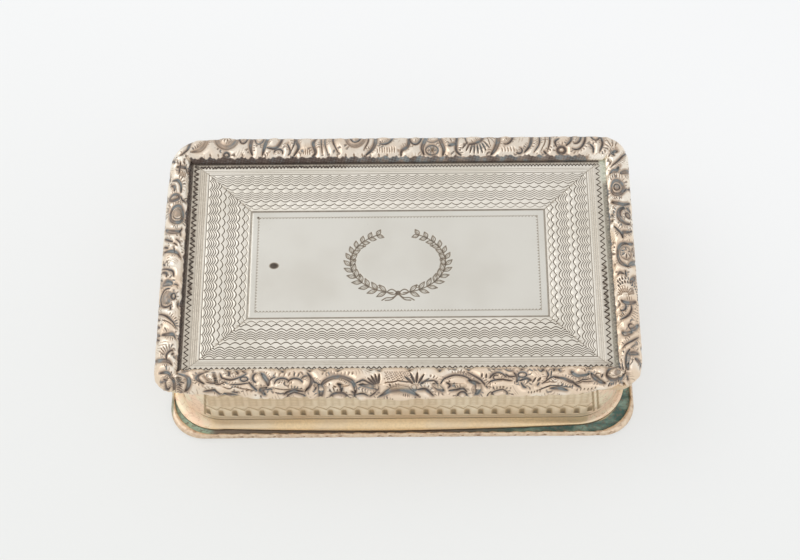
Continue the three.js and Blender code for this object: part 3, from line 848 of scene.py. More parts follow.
FRONT_CARVING: tuple[Motif, ...] = (
    Ring((-40.6, 4.2), (0.6, 1.1), 0.4, 60, 240), Boss((-41.1, 4.7), (0.55, 0.45), 0.2),
    Cut(((-40.4, 6.6), (-39.6, 5.0), (-39.3, 3.0), (-39.5, 1.2)), 0.8),
    Cut(((-38.1, 3.3), (-38.0, 2.9)), 0.35),
    Cut(((-38.6, 7.0), (-36.9, 6.0), (-36.4, 4.4), (-36.6, 2.9), (-37.3, 1.6)), 0.75),
    Hatch((-38.8, 5.4), (-38.6, 1.8), 9, (1.1, -0.25), 0.26, 0.85),
    Cut(((-38.4, 4.0), (-37.2, 3.8)), 0.25), Hatch((-35.6, 6.1), (-35.5, 4.4), 6, (0.75, 0.05)),
    Boss((-37.5, 4.6), (0.8, 0.4), 0.16),
    Cut(((-33.8, 7.1), (-34.8, 6.3), (-35.0, 5.2), (-34.6, 4.2), (-33.8, 3.6)), 0.62),
    Hatch((-32.5, 6.7), (-32.0, 4.4), 7, (0.75, 0.0), 0.26, 0.8),
    Cut(((-33.8, 6.1), (-33.2, 4.7), (-31.9, 4.1)), 0.3, 0.5), Boss((-32.3, 5.2), (1.3, 1.0), 0.22),
    Cut(((-33.4, 4.2), (-31.6, 4.0), (-29.9, 4.6)), 0.25),
    Cut(((-31.0, 6.6), (-30.5, 5.5), (-29.0, 5.2), (-27.4, 5.9), (-26.4, 6.6)), 0.42),
    Cut(((-29.9, 7.9), (-29.5, 7.0), (-29.5, 6.1)), 0.4),
    Cut(((-28.4, 7.9), (-28.1, 7.1), (-27.9, 6.5)), 0.4),
    Cut(((-27.3, 7.9), (-27.0, 7.2), (-26.5, 6.7)), 0.35),
    Hatch((-30.0, 4.2), (-28.6, 4.0), 4, (0.4, 0.65)),
    Cut(((-29.1, 4.1), (-27.5, 4.1), (-25.9, 4.35)), 0.25), Ring((-26.8, 5.3), (0.65, 0.55), 0.3),
    Cut(((-26.0, 4.6), (-25.2, 3.7), (-24.6, 3.1)), 0.45),
    Ring((-24.6, 5.7), (0.7, 1.0), 0.4, 100, 160),
    Cut(((-23.9, 7.0), (-23.3, 6.0), (-22.7, 4.9), (-22.6, 4.0)), 0.75),
    Boss((-24.1, 5.6), (0.5, 0.8), 0.2), Cut(((-22.6, 4.4), (-22.0, 5.5), (-21.3, 5.9)), 0.3),
    Cut(((-22.9, 3.7), (-23.8, 3.0), (-23.2, 2.1)), 0.85), Cut(((-23.0, 3.3), (-21.9, 3.2)), 0.3),
    Cut(((-33.9, 1.9), (-32.3, 2.5), (-31.0, 2.0)), 0.5),
    Cut(((-30.9, 1.4), (-29.5, 1.85), (-27.8, 1.4)), 0.85),
    Cut(((-28.5, 3.7), (-27.0, 3.2), (-25.0, 3.1)), 0.22, 0.6),
    Cut(((-30.5, 3.5), (-29.4, 3.3), (-28.6, 3.6)), 0.22, 0.6),
    Ring((-20.2, 4.5), (1.25, 1.1), 0.4, 20, 160), Ring((-17.9, 4.4), (1.3, 1.1), 0.4, 15, 150),
    Boss((-20.2, 4.5), (0.9, 0.75), 0.2), Boss((-17.9, 4.4), (0.95, 0.75), 0.2),
    Hatch((-21.6, 5.9), (-17.4, 5.9), 6, (0.25, 0.7), 0.28),
    Cut(((-21.8, 3.7), (-19.4, 3.3), (-16.6, 3.5)), 0.22, 0.6),
    Cut(((-19.9, 2.2), (-19.2, 2.75), (-17.8, 2.95), (-16.5, 2.9)), 0.5),
    Ring((-17.8, 1.7), (1.5, 0.8), 0.3), Cut(((-16.9, 5.3), (-16.4, 5.95), (-15.6, 6.0)), 0.3),
    Cut(((-15.8, 6.8), (-15.1, 5.5), (-15.2, 4.2), (-16.2, 2.7)), 0.55),
    Cut(((-14.9, 5.7), (-14.6, 4.7), (-13.8, 4.2)), 0.35),
    Cut(((-14.7, 4.1), (-14.3, 3.6), (-14.6, 3.0)), 0.3),
    Cut(((-13.8, 4.2), (-13.4, 3.2), (-13.6, 1.4)), 0.95),
    Ring((-10.5, 3.0), (3.05, 2.85), 0.75, -8, 185), Boss((-10.8, 3.9), (2.0, 1.3), 0.3),
    Cut(((-10.5, 4.3), (-9.9, 3.7), (-9.9, 2.9)), 0.5), Ring((-10.3, 1.75), (1.4, 1.0), 0.5),
    Hatch((-13.2, 6.1), (-8.0, 6.1), 9, (0.12, 0.55), 0.28), Cut(((-9.6, 3.9), (-8.4, 4.0)), 0.22, 0.6),
    Cut(((-7.5, 4.4), (-6.2, 4.95), (-4.9, 4.5)), 0.32), Boss((-6.4, 4.3), (0.7, 0.35), 0.18),
    Cut(((-6.8, 4.1), (-5.2, 3.8), (-3.8, 3.4)), 0.6),
    Rays((-3.4, 3.5), 0.9, 2.7, 88, 62, 5, 0.38, 0.95), Cut(((-3.9, 3.7), (-3.6, 3.2)), 0.7),
    Cut(((-3.8, 3.0), (-4.4, 2.5), (-5.0, 2.0)), 0.3),
    Cut(((-7.9, 2.3), (-6.2, 2.6), (-5.2, 2.1)), 0.35), Boss((-6.4, 1.8), (1.0, 0.5), 0.2),
    Cut(((-8.1, 3.0), (-7.6, 2.5), (-7.7, 1.2)), 0.4), Boss((0.0, 3.95), (2.7, 0.45), 0.26),
    Cut(((-2.4, 4.35), (0.3, 4.75), (2.4, 4.3)), 0.22, 0.7),
    Cut(((-3.3, 1.9), (-1.6, 3.0), (0.3, 3.35), (2.0, 3.0), (3.5, 1.9)), 0.85),
    Hatch((-1.1, 3.75), (1.7, 3.75), 8, (0.02, 0.18), 0.2), Boss((0.3, 2.1), (2.0, 0.8), 0.3),
    Pits((-2.3, 5.1), (2.3, 6.6)), Rays((3.1, 3.6), 0.9, 2.8, 36, 98, 5, 0.38, 0.95),
    Cut(((2.6, 3.7), (3.0, 3.1)), 0.75), Cut(((3.3, 3.2), (4.6, 3.3), (5.4, 2.8), (6.1, 2.0)), 0.45),
    Cut(((3.9, 4.5), (5.4, 4.8), (6.9, 4.6)), 0.25), Cut(((6.1, 3.9), (7.0, 3.4), (7.9, 2.9)), 0.8),
    Cut(((6.3, 4.7), (6.9, 4.1)), 0.35), Ring((10.2, 3.5), (2.9, 2.5), 0.4, 25, 140),
    Cut(((12.3, 4.9), (13.6, 4.1), (13.9, 2.9), (13.4, 1.5)), 0.95),
    Boss((10.2, 4.4), (1.9, 1.0), 0.28), Boss((13.0, 3.2), (0.4, 0.5), 0.15, 0.4),
    Cut(((8.4, 4.4), (9.0, 3.9), (8.7, 3.4)), 0.4),
    Cut(((8.8, 3.0), (10.2, 3.1), (11.2, 3.3), (11.9, 2.7)), 0.4), Ring((11.1, 1.8), (0.8, 0.9), 0.35),
    Cut(((12.1, 6.6), (13.4, 5.7), (14.5, 4.6), (15.5, 3.3)), 0.4), Pits((10.7, 5.8), (13.0, 6.6)),
    Cut(((15.9, 5.2), (16.6, 6.2), (17.6, 6.5), (18.4, 5.9), (18.8, 5.3)), 0.42),
    Hatch((14.5, 5.3), (16.0, 5.1), 3, (0.1, 0.8), 0.3, 0.85),
    Ring((17.0, 5.4), (0.45, 0.5), 0.26, 30, 260), Cut(((18.7, 6.1), (19.4, 5.5), (20.4, 5.6)), 0.4),
    Cut(((17.2, 7.4), (18.0, 7.1)), 0.3), Cut(((18.5, 7.6), (19.2, 6.9), (20.2, 6.8)), 0.34),
    Boss((17.8, 5.7), (0.6, 0.4), 0.2), Ring((17.6, 1.9), (1.35, 0.85), 0.25),
    Ring((16.0, 1.7), (0.5, 0.55), 0.22), Boss((18.2, 4.0), (1.7, 0.6), 0.26),
    Cut(((15.6, 4.1), (17.0, 4.85), (19.8, 4.6)), 0.3),
    Hatch((15.8, 3.0), (19.4, 3.0), 7, (0.15, 0.3), 0.2),
    Cut(((20.2, 6.5), (20.8, 5.3), (20.6, 4.3)), 0.6),
    Cut(((21.1, 4.6), (22.3, 4.95), (23.1, 4.6)), 0.5), Ring((21.6, 5.9), (0.75, 0.6), 0.3),
    Cut(((21.3, 4.2), (21.7, 3.4), (22.2, 2.9)), 0.35),
    Hatch((22.4, 4.1), (24.2, 4.3), 3, (0.55, 0.75), 0.34, 0.9), Cut(((24.1, 3.3), (24.5, 4.1)), 0.25),
    Cut(((25.0, 3.9), (26.0, 4.6), (27.0, 5.3), (28.1, 5.2)), 0.32),
    Cut(((26.5, 5.0), (26.7, 6.7)), 0.22),
    Cut(((27.2, 5.1), (28.7, 4.9), (30.0, 4.0), (31.5, 2.8)), 0.55),
    Cut(((24.8, 4.0), (27.6, 4.05)), 0.2, 0.6),
    Cut(((24.2, 2.5), (25.6, 3.15), (28.0, 3.3), (30.4, 2.9)), 0.22),
    Cut(((26.5, 2.6), (28.0, 2.75), (29.4, 2.2)), 0.65), Ring((31.8, 6.6), (1.5, 1.2), 0.85, 170, 165),
    Boss((31.9, 6.7), (0.9, 0.7), 0.25), Hatch((30.4, 4.4), (33.0, 4.4), 7, (0.05, 0.6), 0.2),
    Cut(((30.8, 3.9), (32.1, 4.2), (33.4, 4.3)), 0.25),
    Cut(((33.6, 6.2), (34.0, 4.7), (34.8, 3.3), (36.0, 2.5)), 0.8),
    Boss((34.7, 5.0), (0.45, 0.8), 0.25), Cut(((34.6, 5.9), (34.2, 5.1)), 0.25),
    Cut(((35.6, 5.4), (35.3, 4.0)), 0.3), Boss((38.1, 5.1), (0.65, 1.4), 0.3, 0.5),
    Ring((38.1, 5.0), (1.9, 2.9), 0.55, -5, 190), Ring((38.1, 5.0), (1.9, 2.3), 0.6, 175, 190),
    Cut(((40.2, 5.6), (40.7, 4.8), (41.0, 3.8)), 0.6),
    Hatch((36.6, 1.9), (40.0, 2.1), 9, (0.05, 0.5), 0.26, 0.8), Boss((36.9, 5.0), (0.5, 1.2), 0.2),
    Boss((39.4, 5.0), (0.5, 1.2), 0.2), Hatch((-21.4, 2.9), (-19.7, 2.5), 5, (0.55, -0.35), 0.24, 0.75),
    Hatch((22.9, 7.0), (25.0, 7.1), 4, (0.5, -0.5), 0.3, 0.85),
    Cut(((25.8, 6.9), (26.1, 5.8), (25.7, 4.7)), 0.32), Boss((24.0, 5.7), (1.1, 0.8), 0.22),
    Hatch((-24.9, 2.9), (-29.0, 2.6), 6, (0.45, 0.12), 0.2, 0.6),
    Cut(((28.6, 7.6), (28.0, 7.1), (28.4, 6.5)), 0.34),
    Hatch((31.0, 2.2), (34.2, 1.9), 6, (0.12, 0.42), 0.2, 0.6),
    Cut(((30.6, 3.6), (32.4, 3.7), (34.0, 3.5)), 0.26, 0.7),
    Hatch((22.6, 2.0), (24.6, 2.2), 5, (0.05, 0.42), 0.2, 0.6), Cut(((-13.0, 7.9), (-12.8, 7.1)), 0.4),
    Cut(((-10.2, 7.9), (-10.6, 7.0)), 0.45), Cut(((9.6, 7.9), (9.9, 7.1)), 0.4),
    Cut(((-28.9, 2.6), (-27.9, 2.35)), 0.3), Cut(((25.4, 7.9), (25.2, 7.1), (24.9, 6.6)), 0.4),
    Cut(((27.3, 7.9), (27.2, 7.2), (27.1, 6.7)), 0.4), Cut(((33.6, 7.9), (33.4, 7.2)), 0.5),
    Cut(((-4.9, 7.9), (-4.8, 7.2)), 0.4), Cut(((-3.6, 7.9), (-3.2, 7.0)), 0.5),
    Cut(((2.2, 7.9), (1.9, 6.9)), 0.4), Cut(((7.4, 7.9), (7.2, 6.8)), 0.5),
    Cut(((12.2, 7.9), (12.3, 7.0)), 0.5), Cut(((-20.3, 7.9), (-20.1, 6.9)), 0.5),
    Cut(((-15.6, 7.9), (-15.4, 7.0)), 0.45), Cut(((16.9, 7.9), (16.6, 7.2)), 0.4),
    Cut(((21.8, 7.9), (21.5, 7.0)), 0.45), Cut(((-36.9, 7.9), (-37.6, 7.2)), 0.5),
    Cut(((-33.3, 7.9), (-33.6, 7.1)), 0.5),
)

BACK_CARVING: tuple[Motif, ...] = (
    Cut(((-40.7, 5.9), (-39.2, 5.0), (-38.9, 3.0), (-39.3, 1.4)), 0.55),
    Cut(((-38.3, 5.8), (-36.7, 5.4), (-35.9, 4.0), (-36.0, 2.2), (-37.2, 1.2)), 0.8, 0.7),
    Boss((-37.4, 3.4), (0.9, 1.6), 0.2), Ring((-32.0, 3.2), (1.9, 2.0), 0.85, tone=0.8),
    Boss((-32.2, 3.2), (1.2, 1.3), 0.35), Rays((-32.1, 3.2), 0.6, 1.3, 0, 324, 10, 0.2),
    Ring((-31.9, 6.6), (0.5, 0.45), 0.35), Boss((-31.9, 6.6), (0.35, 0.32), 0.2),
    Ring((-28.9, 3.1), (0.75, 1.4), 0.35),
    Cut(((-27.1, 6.6), (-27.5, 5.0), (-27.3, 3.0), (-27.7, 1.3)), 0.6),
    Ring((-25.9, 3.1), (0.85, 1.5), 0.35, tone=0.8),
    Cut(((-25.2, 6.6), (-24.8, 5.0), (-24.4, 3.0), (-25.0, 1.2)), 0.6),
    Cut(((-24.4, 5.3), (-22.7, 5.4), (-21.7, 3.7), (-22.1, 1.6)), 0.5),
    Boss((-23.3, 3.4), (1.0, 1.4), 0.3), Ring((-22.2, 6.2), (0.8, 0.6), 0.35, 180, 200),
    Cut(((-20.4, 6.7), (-20.0, 6.0), (-20.6, 4.6)), 0.32),
    Cut(((-19.4, 6.9), (-18.5, 5.3), (-19.0, 3.9), (-18.9, 2.3), (-19.0, 1.0)), 0.55),
    Cut(((-19.8, 6.0), (-19.3, 4.6), (-19.4, 2.6)), 0.22),
    Hatch((-18.0, 5.6), (-16.4, 5.7), 5, (0.05, 0.9), 0.2),
    Cut(((-15.9, 7.0), (-15.3, 6.2), (-15.8, 4.6), (-15.3, 3.1), (-15.8, 1.5)), 0.55),
    Cut(((-14.0, 6.5), (-14.3, 4.0), (-14.2, 1.6)), 0.28, 0.8),
    Cut(((-13.0, 6.5), (-13.6, 4.4), (-13.4, 1.6)), 0.28, 0.8),
    Cut(((-11.0, 6.4), (-12.0, 4.5), (-12.0, 3.0), (-11.2, 1.2)), 0.32),
    Boss((-10.4, 4.2), (0.8, 1.6), 0.18), Ring((-7.9, 3.2), (1.7, 1.9), 0.6, tone=0.75),
    Ring((-7.9, 3.2), (0.9, 1.1), 0.35), Boss((-7.9, 3.2), (0.7, 0.9), 0.3),
    Cut(((-6.2, 5.8), (-5.5, 4.2), (-5.6, 2.4)), 0.25),
    Cut(((-5.9, 6.8), (-4.5, 5.4), (-4.1, 3.6), (-4.5, 1.7), (-5.3, 0.9)), 0.65),
    Ring((-2.7, 3.1), (1.7, 1.7), 0.5, -110, 220),
    Hatch((-3.8, 5.5), (-0.6, 5.5), 8, (0.05, 0.9), 0.18), Boss((-2.7, 3.1), (1.1, 1.1), 0.28),
    Cut(((0.6, 7.0), (0.8, 6.0), (1.9, 5.2), (2.1, 3.4), (1.7, 1.2)), 0.55),
    Ring((3.3, 3.2), (1.1, 1.7), 0.4), Boss((3.4, 3.2), (0.7, 1.2), 0.25),
    Cut(((4.9, 6.8), (4.6, 5.6), (5.0, 4.3), (5.4, 3.0), (4.8, 1.3)), 0.65),
    Ring((6.4, 6.0), (1.15, 0.85), 0.3, tone=0.85), Rays((6.4, 6.0), 0.35, 0.95, 0, 300, 6, 0.28),
    Boss((6.4, 6.0), (0.35, 0.3), 0.22), Ring((6.5, 2.9), (1.5, 1.6), 0.35, tone=0.7),
    Cut(((8.4, 7.0), (8.6, 5.8), (8.1, 4.4), (7.8, 3.0), (8.3, 1.3)), 0.65),
    Cut(((9.5, 5.2), (10.3, 4.9), (10.9, 4.6)), 0.6),
    Cut(((11.8, 7.0), (11.0, 6.2), (10.9, 5.0), (11.1, 3.0), (10.8, 1.1)), 0.5),
    Cut(((12.9, 4.8), (12.6, 3.2), (12.9, 1.5)), 0.25),
    Cut(((13.3, 5.0), (14.6, 4.7), (15.7, 4.0), (15.8, 2.5), (14.8, 1.3)), 0.55),
    Rays((14.6, 2.8), 2.3, 3.9, 50, 80, 8, 0.3, 0.85), Boss((14.3, 3.3), (1.0, 1.1), 0.3),
    Rays((16.6, 3.0), 0.4, 2.6, -75, 150, 7, 0.22),
    Cut(((17.4, 6.9), (18.3, 5.6), (18.8, 4.0), (18.7, 2.2), (18.2, 0.9)), 0.8),
    Ring((20.1, 3.1), (1.4, 1.9), 0.45, -100, 200), Boss((20.0, 3.1), (0.8, 1.3), 0.28),
    Hatch((19.4, 5.7), (21.6, 5.7), 5, (0.15, 0.7), 0.2), Ring((22.6, 6.2), (0.6, 0.5), 0.35, -60, 200),
    Cut(((23.6, 6.5), (24.7, 5.2), (25.0, 3.5), (24.9, 1.8), (24.2, 0.9)), 0.55),
    Cut(((25.4, 6.5), (26.4, 5.0), (26.5, 3.0), (26.2, 1.2)), 0.28),
    Cut(((26.6, 6.4), (27.5, 4.8), (27.5, 3.0), (27.1, 1.3)), 0.22, 0.6),
    Cut(((27.9, 6.3), (28.4, 4.6), (28.4, 2.4), (28.0, 1.2)), 0.28),
    Cut(((27.7, 6.9), (27.2, 6.3)), 0.4), Ring((30.5, 6.2), (0.75, 0.6), 0.45),
    Boss((30.5, 6.2), (0.45, 0.4), 0.25), Cut(((29.6, 5.6), (29.4, 4.6), (30.2, 3.8)), 0.4),
    Cut(((31.4, 5.4), (32.4, 4.2), (32.4, 2.3), (31.6, 1.2)), 0.5),
    Ring((33.1, 3.1), (1.2, 1.9), 0.45, -90, 190), Ring((33.2, 3.3), (1.9, 2.8), 0.4, -80, 190),
    Boss((33.0, 3.1), (0.7, 1.3), 0.25), Cut(((36.4, 6.7), (36.4, 5.8), (35.8, 5.1)), 0.4),
    Cut(((37.6, 6.5), (38.2, 5.0), (38.0, 3.0), (38.4, 1.6)), 0.45),
    Rays((40.0, 6.4), 0.9, 2.4, 200, 110, 6, 0.26),
    Hatch((-12.8, 6.5), (-2.0, 6.6), 8, (0.1, 0.5), 0.34),
    Hatch((-35.0, 6.4), (-29.0, 6.4), 5, (0.2, 0.5), 0.3), Ring((37.0, 3.0), (0.8, 1.3), 0.35),
)

LEFT_CARVING: tuple[Motif, ...] = (
    Cut(((-26.0, 7.2), (-24.6, 7.0), (-23.5, 6.3), (-22.6, 5.4), (-22.4, 3.6)), 0.8),
    Cut(((-25.8, 5.4), (-25.2, 4.8)), 0.4), Cut(((-24.7, 5.2), (-24.3, 4.7), (-24.0, 4.3)), 0.45),
    Rays((-22.9, 5.9), 0.5, 1.5, 150, 90, 5, 0.22),
    Cut(((-20.9, 6.6), (-20.2, 5.3), (-19.9, 3.6), (-19.3, 1.5)), 0.7),
    Cut(((-20.2, 5.2), (-19.0, 5.1), (-18.2, 5.8), (-18.0, 6.6)), 0.42),
    Cut(((-18.9, 6.2), (-18.6, 6.9)), 0.35), Rays((-20.0, 5.8), 1.6, 3.0, -50, 45, 5, 0.22),
    Boss((-17.4, 3.4), (1.2, 1.2), 0.18),
    Cut(((-15.4, 7.2), (-14.9, 6.4), (-14.9, 5.0), (-14.8, 3.7)), 0.65),
    Cut(((-14.9, 3.3), (-14.4, 2.3), (-13.8, 1.4)), 0.6),
    Cut(((-15.8, 3.2), (-15.2, 2.2), (-14.8, 1.3)), 0.42),
    Cut(((-13.2, 3.1), (-12.7, 2.3), (-12.2, 1.3)), 0.5),
    Cut(((-11.7, 3.1), (-11.0, 1.9), (-10.6, 1.2)), 0.35),
    Cut(((-13.4, 7.2), (-12.3, 5.9), (-11.0, 4.2), (-9.8, 1.6)), 0.36),
    Cut(((-13.8, 6.7), (-12.5, 5.1), (-11.8, 3.6)), 0.22, 0.7), Boss((-10.8, 5.6), (0.8, 0.9), 0.18),
    Cut(((-9.9, 5.3), (-9.3, 5.3)), 0.35), Boss((-7.5, 4.5), (1.4, 1.3), 0.12, 0.5),
    Ring((-7.4, 4.4), (1.9, 1.6), 0.45, 140, 235), Ring((-7.2, 5.8), (0.6, 0.5), 0.3),
    Boss((-7.2, 5.8), (0.4, 0.35), 0.25), Cut(((-8.7, 2.7), (-8.2, 2.0), (-7.8, 1.4)), 0.32),
    Cut(((-9.0, 7.2), (-8.2, 7.4)), 0.45), Cut(((-4.8, 6.9), (-4.7, 5.9)), 0.3),
    Cut(((-4.5, 5.2), (-4.2, 4.1), (-4.4, 3.2)), 1.25),
    Cut(((-3.1, 5.6), (-2.1, 5.3), (-1.5, 4.2), (-0.9, 2.5)), 0.4),
    Cut(((-3.0, 4.0), (-2.2, 3.8), (-1.6, 2.5)), 0.5), Cut(((-3.6, 3.0), (-3.0, 2.3)), 0.3),
    Boss((-0.4, 5.4), (0.9, 0.8), 0.2), Cut(((-0.5, 3.4), (0.2, 2.6)), 0.35),
    Cut(((-1.0, 1.7), (0.0, 1.2)), 0.4), Hatch((-0.4, 4.0), (1.4, 3.9), 4, (0.05, 0.5), 0.18),
    Cut(((1.1, 7.2), (1.8, 6.0), (2.3, 4.4), (2.5, 2.7)), 0.62), Cut(((1.9, 5.3), (2.9, 5.2)), 0.35),
    Cut(((3.4, 5.9), (3.9, 5.1)), 0.28), Cut(((3.0, 3.9), (3.7, 2.6)), 0.4),
    Cut(((4.0, 6.8), (4.7, 5.5)), 0.32), Cut(((4.2, 4.8), (4.8, 3.6), (5.5, 2.5)), 0.45),
    Cut(((6.7, 6.7), (6.3, 5.5), (6.6, 3.8), (7.4, 2.6)), 0.75), Cut(((5.6, 6.7), (6.3, 6.4)), 0.35),
    Cut(((6.5, 6.4), (7.2, 7.0)), 0.35), Boss((10.1, 5.5), (0.85, 0.85), 0.3, 0.45),
    Ring((10.1, 5.5), (1.1, 1.1), 0.2, tone=0.7), Ring((10.1, 5.4), (1.8, 1.75), 0.62),
    Cut(((9.3, 3.9), (10.4, 3.6), (11.4, 4.1)), 0.4),
    Hatch((11.9, 6.4), (12.0, 4.4), 5, (1.1, -0.05), 0.22),
    Rays((10.3, 5.3), 2.2, 3.4, -95, 50, 5, 0.24), Cut(((13.2, 7.5), (13.3, 6.4), (14.0, 6.0)), 0.4),
    Ring((13.8, 4.4), (0.65, 1.2), 0.55), Boss((13.8, 4.6), (0.35, 0.7), 0.25),
    Cut(((14.8, 5.9), (16.3, 5.8), (17.4, 5.0), (17.7, 3.4)), 0.6),
    Cut(((15.3, 4.3), (16.2, 4.1), (16.7, 3.2)), 0.6),
    Hatch((18.0, 6.6), (18.3, 5.3), 4, (1.3, 0.25), 0.24),
    Cut(((18.9, 5.0), (20.2, 5.1), (21.5, 5.2)), 0.4),
    Cut(((20.4, 7.2), (20.4, 5.6), (20.6, 4.2)), 0.62),
    Cut(((19.5, 7.5), (20.3, 7.2), (20.8, 6.6)), 0.4), Cut(((21.2, 6.5), (21.6, 6.0)), 0.35),
    Cut(((23.3, 4.6), (23.7, 5.7), (24.4, 6.6)), 0.6), Cut(((22.9, 7.4), (23.2, 6.8)), 0.35),
    Cut(((13.4, 2.6), (14.4, 1.8), (14.6, 1.2)), 0.4),
    Cut(((17.8, 2.6), (19.0, 2.0), (19.6, 1.3)), 0.5), Cut(((8.0, 1.9), (9.4, 1.5), (10.6, 2.0)), 0.4),
    Cut(((21.6, 3.6), (22.4, 2.6), (22.6, 1.4)), 0.5), Cut(((-4.2, 2.0), (-3.4, 1.3)), 0.5),
    Cut(((3.2, 1.9), (4.3, 1.3)), 0.45),
)

RIGHT_CARVING: tuple[Motif, ...] = (
    Cut(((-23.9, 7.9), (-23.8, 6.9)), 0.4), Cut(((-22.9, 7.0), (-22.0, 7.4), (-20.8, 7.4)), 0.35),
    Rays((-26.0, 6.5), 0.5, 1.6, 20, 60, 4, 0.22), Cut(((-20.3, 4.0), (-20.7, 3.0), (-21.3, 2.0)), 0.7),
    Cut(((-22.9, 5.4), (-22.1, 5.7), (-21.3, 5.5)), 0.7), Boss((-20.4, 5.5), (1.0, 0.4), 0.12, 0.5),
    Cut(((-22.5, 6.3), (-20.9, 6.15), (-19.6, 5.9), (-18.6, 5.1)), 0.5),
    Cut(((-19.6, 5.4), (-19.3, 4.4), (-19.2, 3.2)), 0.8), Boss((-21.2, 6.8), (1.2, 0.4), 0.2),
    Cut(((-18.2, 7.0), (-17.6, 5.8), (-16.8, 4.4), (-15.8, 2.9)), 0.36),
    Cut(((-18.4, 4.9), (-17.4, 3.8)), 0.25, 0.7),
    Cut(((-15.0, 7.0), (-15.5, 5.8), (-15.0, 4.3)), 0.95, 0.85),
    Cut(((-14.5, 4.8), (-14.4, 3.9), (-13.1, 2.6)), 0.75),
    Ring((-14.0, 4.6), (0.5, 0.5), 0.3, -30, 200),
    Cut(((-12.5, 6.9), (-12.3, 5.8), (-11.6, 4.8), (-10.5, 4.2), (-9.7, 4.2)), 0.42),
    Ring((-10.0, 6.2), (0.85, 0.9), 0.4, 130, 180), Boss((-11.4, 6.0), (0.6, 0.9), 0.22),
    Cut(((-9.6, 7.4), (-9.3, 6.8)), 0.4),
    Cut(((-8.7, 6.4), (-9.3, 5.2), (-9.1, 4.0), (-8.6, 2.9)), 0.7),
    Hatch((-13.4, 3.4), (-10.4, 3.0), 6, (0.35, -0.6), 0.2),
    Rays((-7.9, 4.9), 2.5, 3.1, 40, -130, 13, 0.26, 0.9),
    Rays((-7.9, 4.9), 3.3, 3.9, 32, -112, 13, 0.26, 0.9),
    Rays((-8.0, 5.4), 0.7, 2.1, 75, -140, 10, 0.2, 0.5),
    Cut(((-3.3, 7.0), (-3.0, 6.2), (-3.3, 5.3)), 0.5), Cut(((-3.9, 4.9), (-2.6, 4.95)), 0.35),
    Cut(((-4.9, 4.0), (-4.1, 3.3), (-3.5, 2.7)), 0.85), Boss((-6.8, 3.9), (0.8, 0.4), 0.1, 0.45),
    Ring((0.8, 4.2), (2.4, 2.3), 0.75, -10, 195), Cut(((-1.5, 4.2), (-0.6, 3.0), (0.3, 1.2)), 0.85),
    Cut(((3.1, 4.2), (3.3, 3.3), (3.8, 2.5)), 0.6), Ring((1.1, 4.6), (1.35, 1.15), 0.25, tone=0.6),
    Rays((1.1, 4.6), 0.4, 1.2, 0, 300, 6, 0.3, 0.8), Boss((1.1, 4.6), (0.4, 0.35), 0.25, 0.3),
    Cut(((0.9, 2.9), (1.5, 2.3), (2.4, 2.2)), 0.35), Cut(((1.6, 3.1), (2.6, 2.9)), 0.3),
    Hatch((-1.2, 7.1), (3.4, 7.2), 3, (0.05, 0.6), 0.4),
    Cut(((4.2, 5.0), (5.3, 5.4), (6.0, 6.0), (6.9, 7.0)), 0.45),
    Cut(((4.3, 5.0), (5.4, 4.9), (5.6, 4.0), (5.9, 3.2)), 0.6), Cut(((5.9, 3.2), (6.4, 2.5)), 0.35),
    Hatch((6.2, 5.0), (6.3, 3.9), 4, (0.9, 0.05), 0.2), Ring((9.2, 3.9), (1.75, 1.75), 0.7, 10, 200),
    Ring((9.4, 4.0), (1.2, 1.2), 0.4, 0, 130), Boss((9.3, 3.5), (0.4, 0.45), 0.2, 0.5),
    Ring((9.3, 3.5), (0.55, 0.6), 0.3), Cut(((10.9, 3.7), (10.3, 2.7)), 0.6),
    Hatch((8.1, 6.4), (11.0, 6.5), 7, (0.05, 0.5), 0.2),
    Cut(((12.3, 7.4), (11.8, 6.2), (11.5, 4.4), (12.2, 2.7)), 0.65),
    Boss((15.1, 5.6), (0.5, 0.5), 0.3, 0.5), Ring((15.1, 5.6), (0.65, 0.65), 0.25),
    Ring((15.1, 5.6), (1.5, 1.5), 0.65), Hatch((16.9, 6.9), (17.0, 4.4), 6, (1.1, 0.0), 0.2),
    Hatch((12.4, 6.6), (12.5, 4.8), 5, (0.9, 0.0), 0.2), Cut(((14.3, 4.0), (15.2, 3.4)), 0.4),
    Cut(((15.0, 3.2), (15.6, 2.2), (16.2, 1.3)), 0.4),
    Cut(((18.5, 7.4), (18.8, 6.2), (18.8, 5.4), (19.7, 4.8)), 0.75),
    Cut(((18.3, 4.5), (18.9, 3.4), (19.8, 1.4)), 0.75),
    Cut(((19.6, 6.7), (20.6, 5.3), (22.0, 4.0), (23.6, 2.6)), 0.36),
    Boss((21.0, 3.4), (0.9, 0.8), 0.18), Cut(((22.2, 5.6), (22.9, 6.2), (23.7, 6.4)), 0.6),
    Cut(((22.8, 5.9), (23.3, 4.8)), 0.65), Cut(((20.4, 7.2), (20.8, 6.5)), 0.35),
    Cut(((8.3, 7.8), (8.2, 7.3)), 0.35), Cut(((9.5, 7.7), (9.3, 7.1)), 0.35),
    Cut(((-17.6, 2.2), (-18.0, 1.3)), 0.6), Cut(((-13.0, 2.0), (-12.3, 1.2)), 0.6),
    Cut(((-7.6, 2.0), (-7.2, 1.2)), 0.5), Cut(((-3.6, 2.0), (-2.8, 1.2)), 0.5),
    Cut(((4.2, 2.0), (4.9, 1.2)), 0.5), Cut(((7.4, 2.0), (7.7, 1.2)), 0.5),
    Cut(((9.6, 2.0), (10.1, 1.2)), 0.5), Cut(((12.8, 1.9), (13.8, 1.2)), 0.45),
)


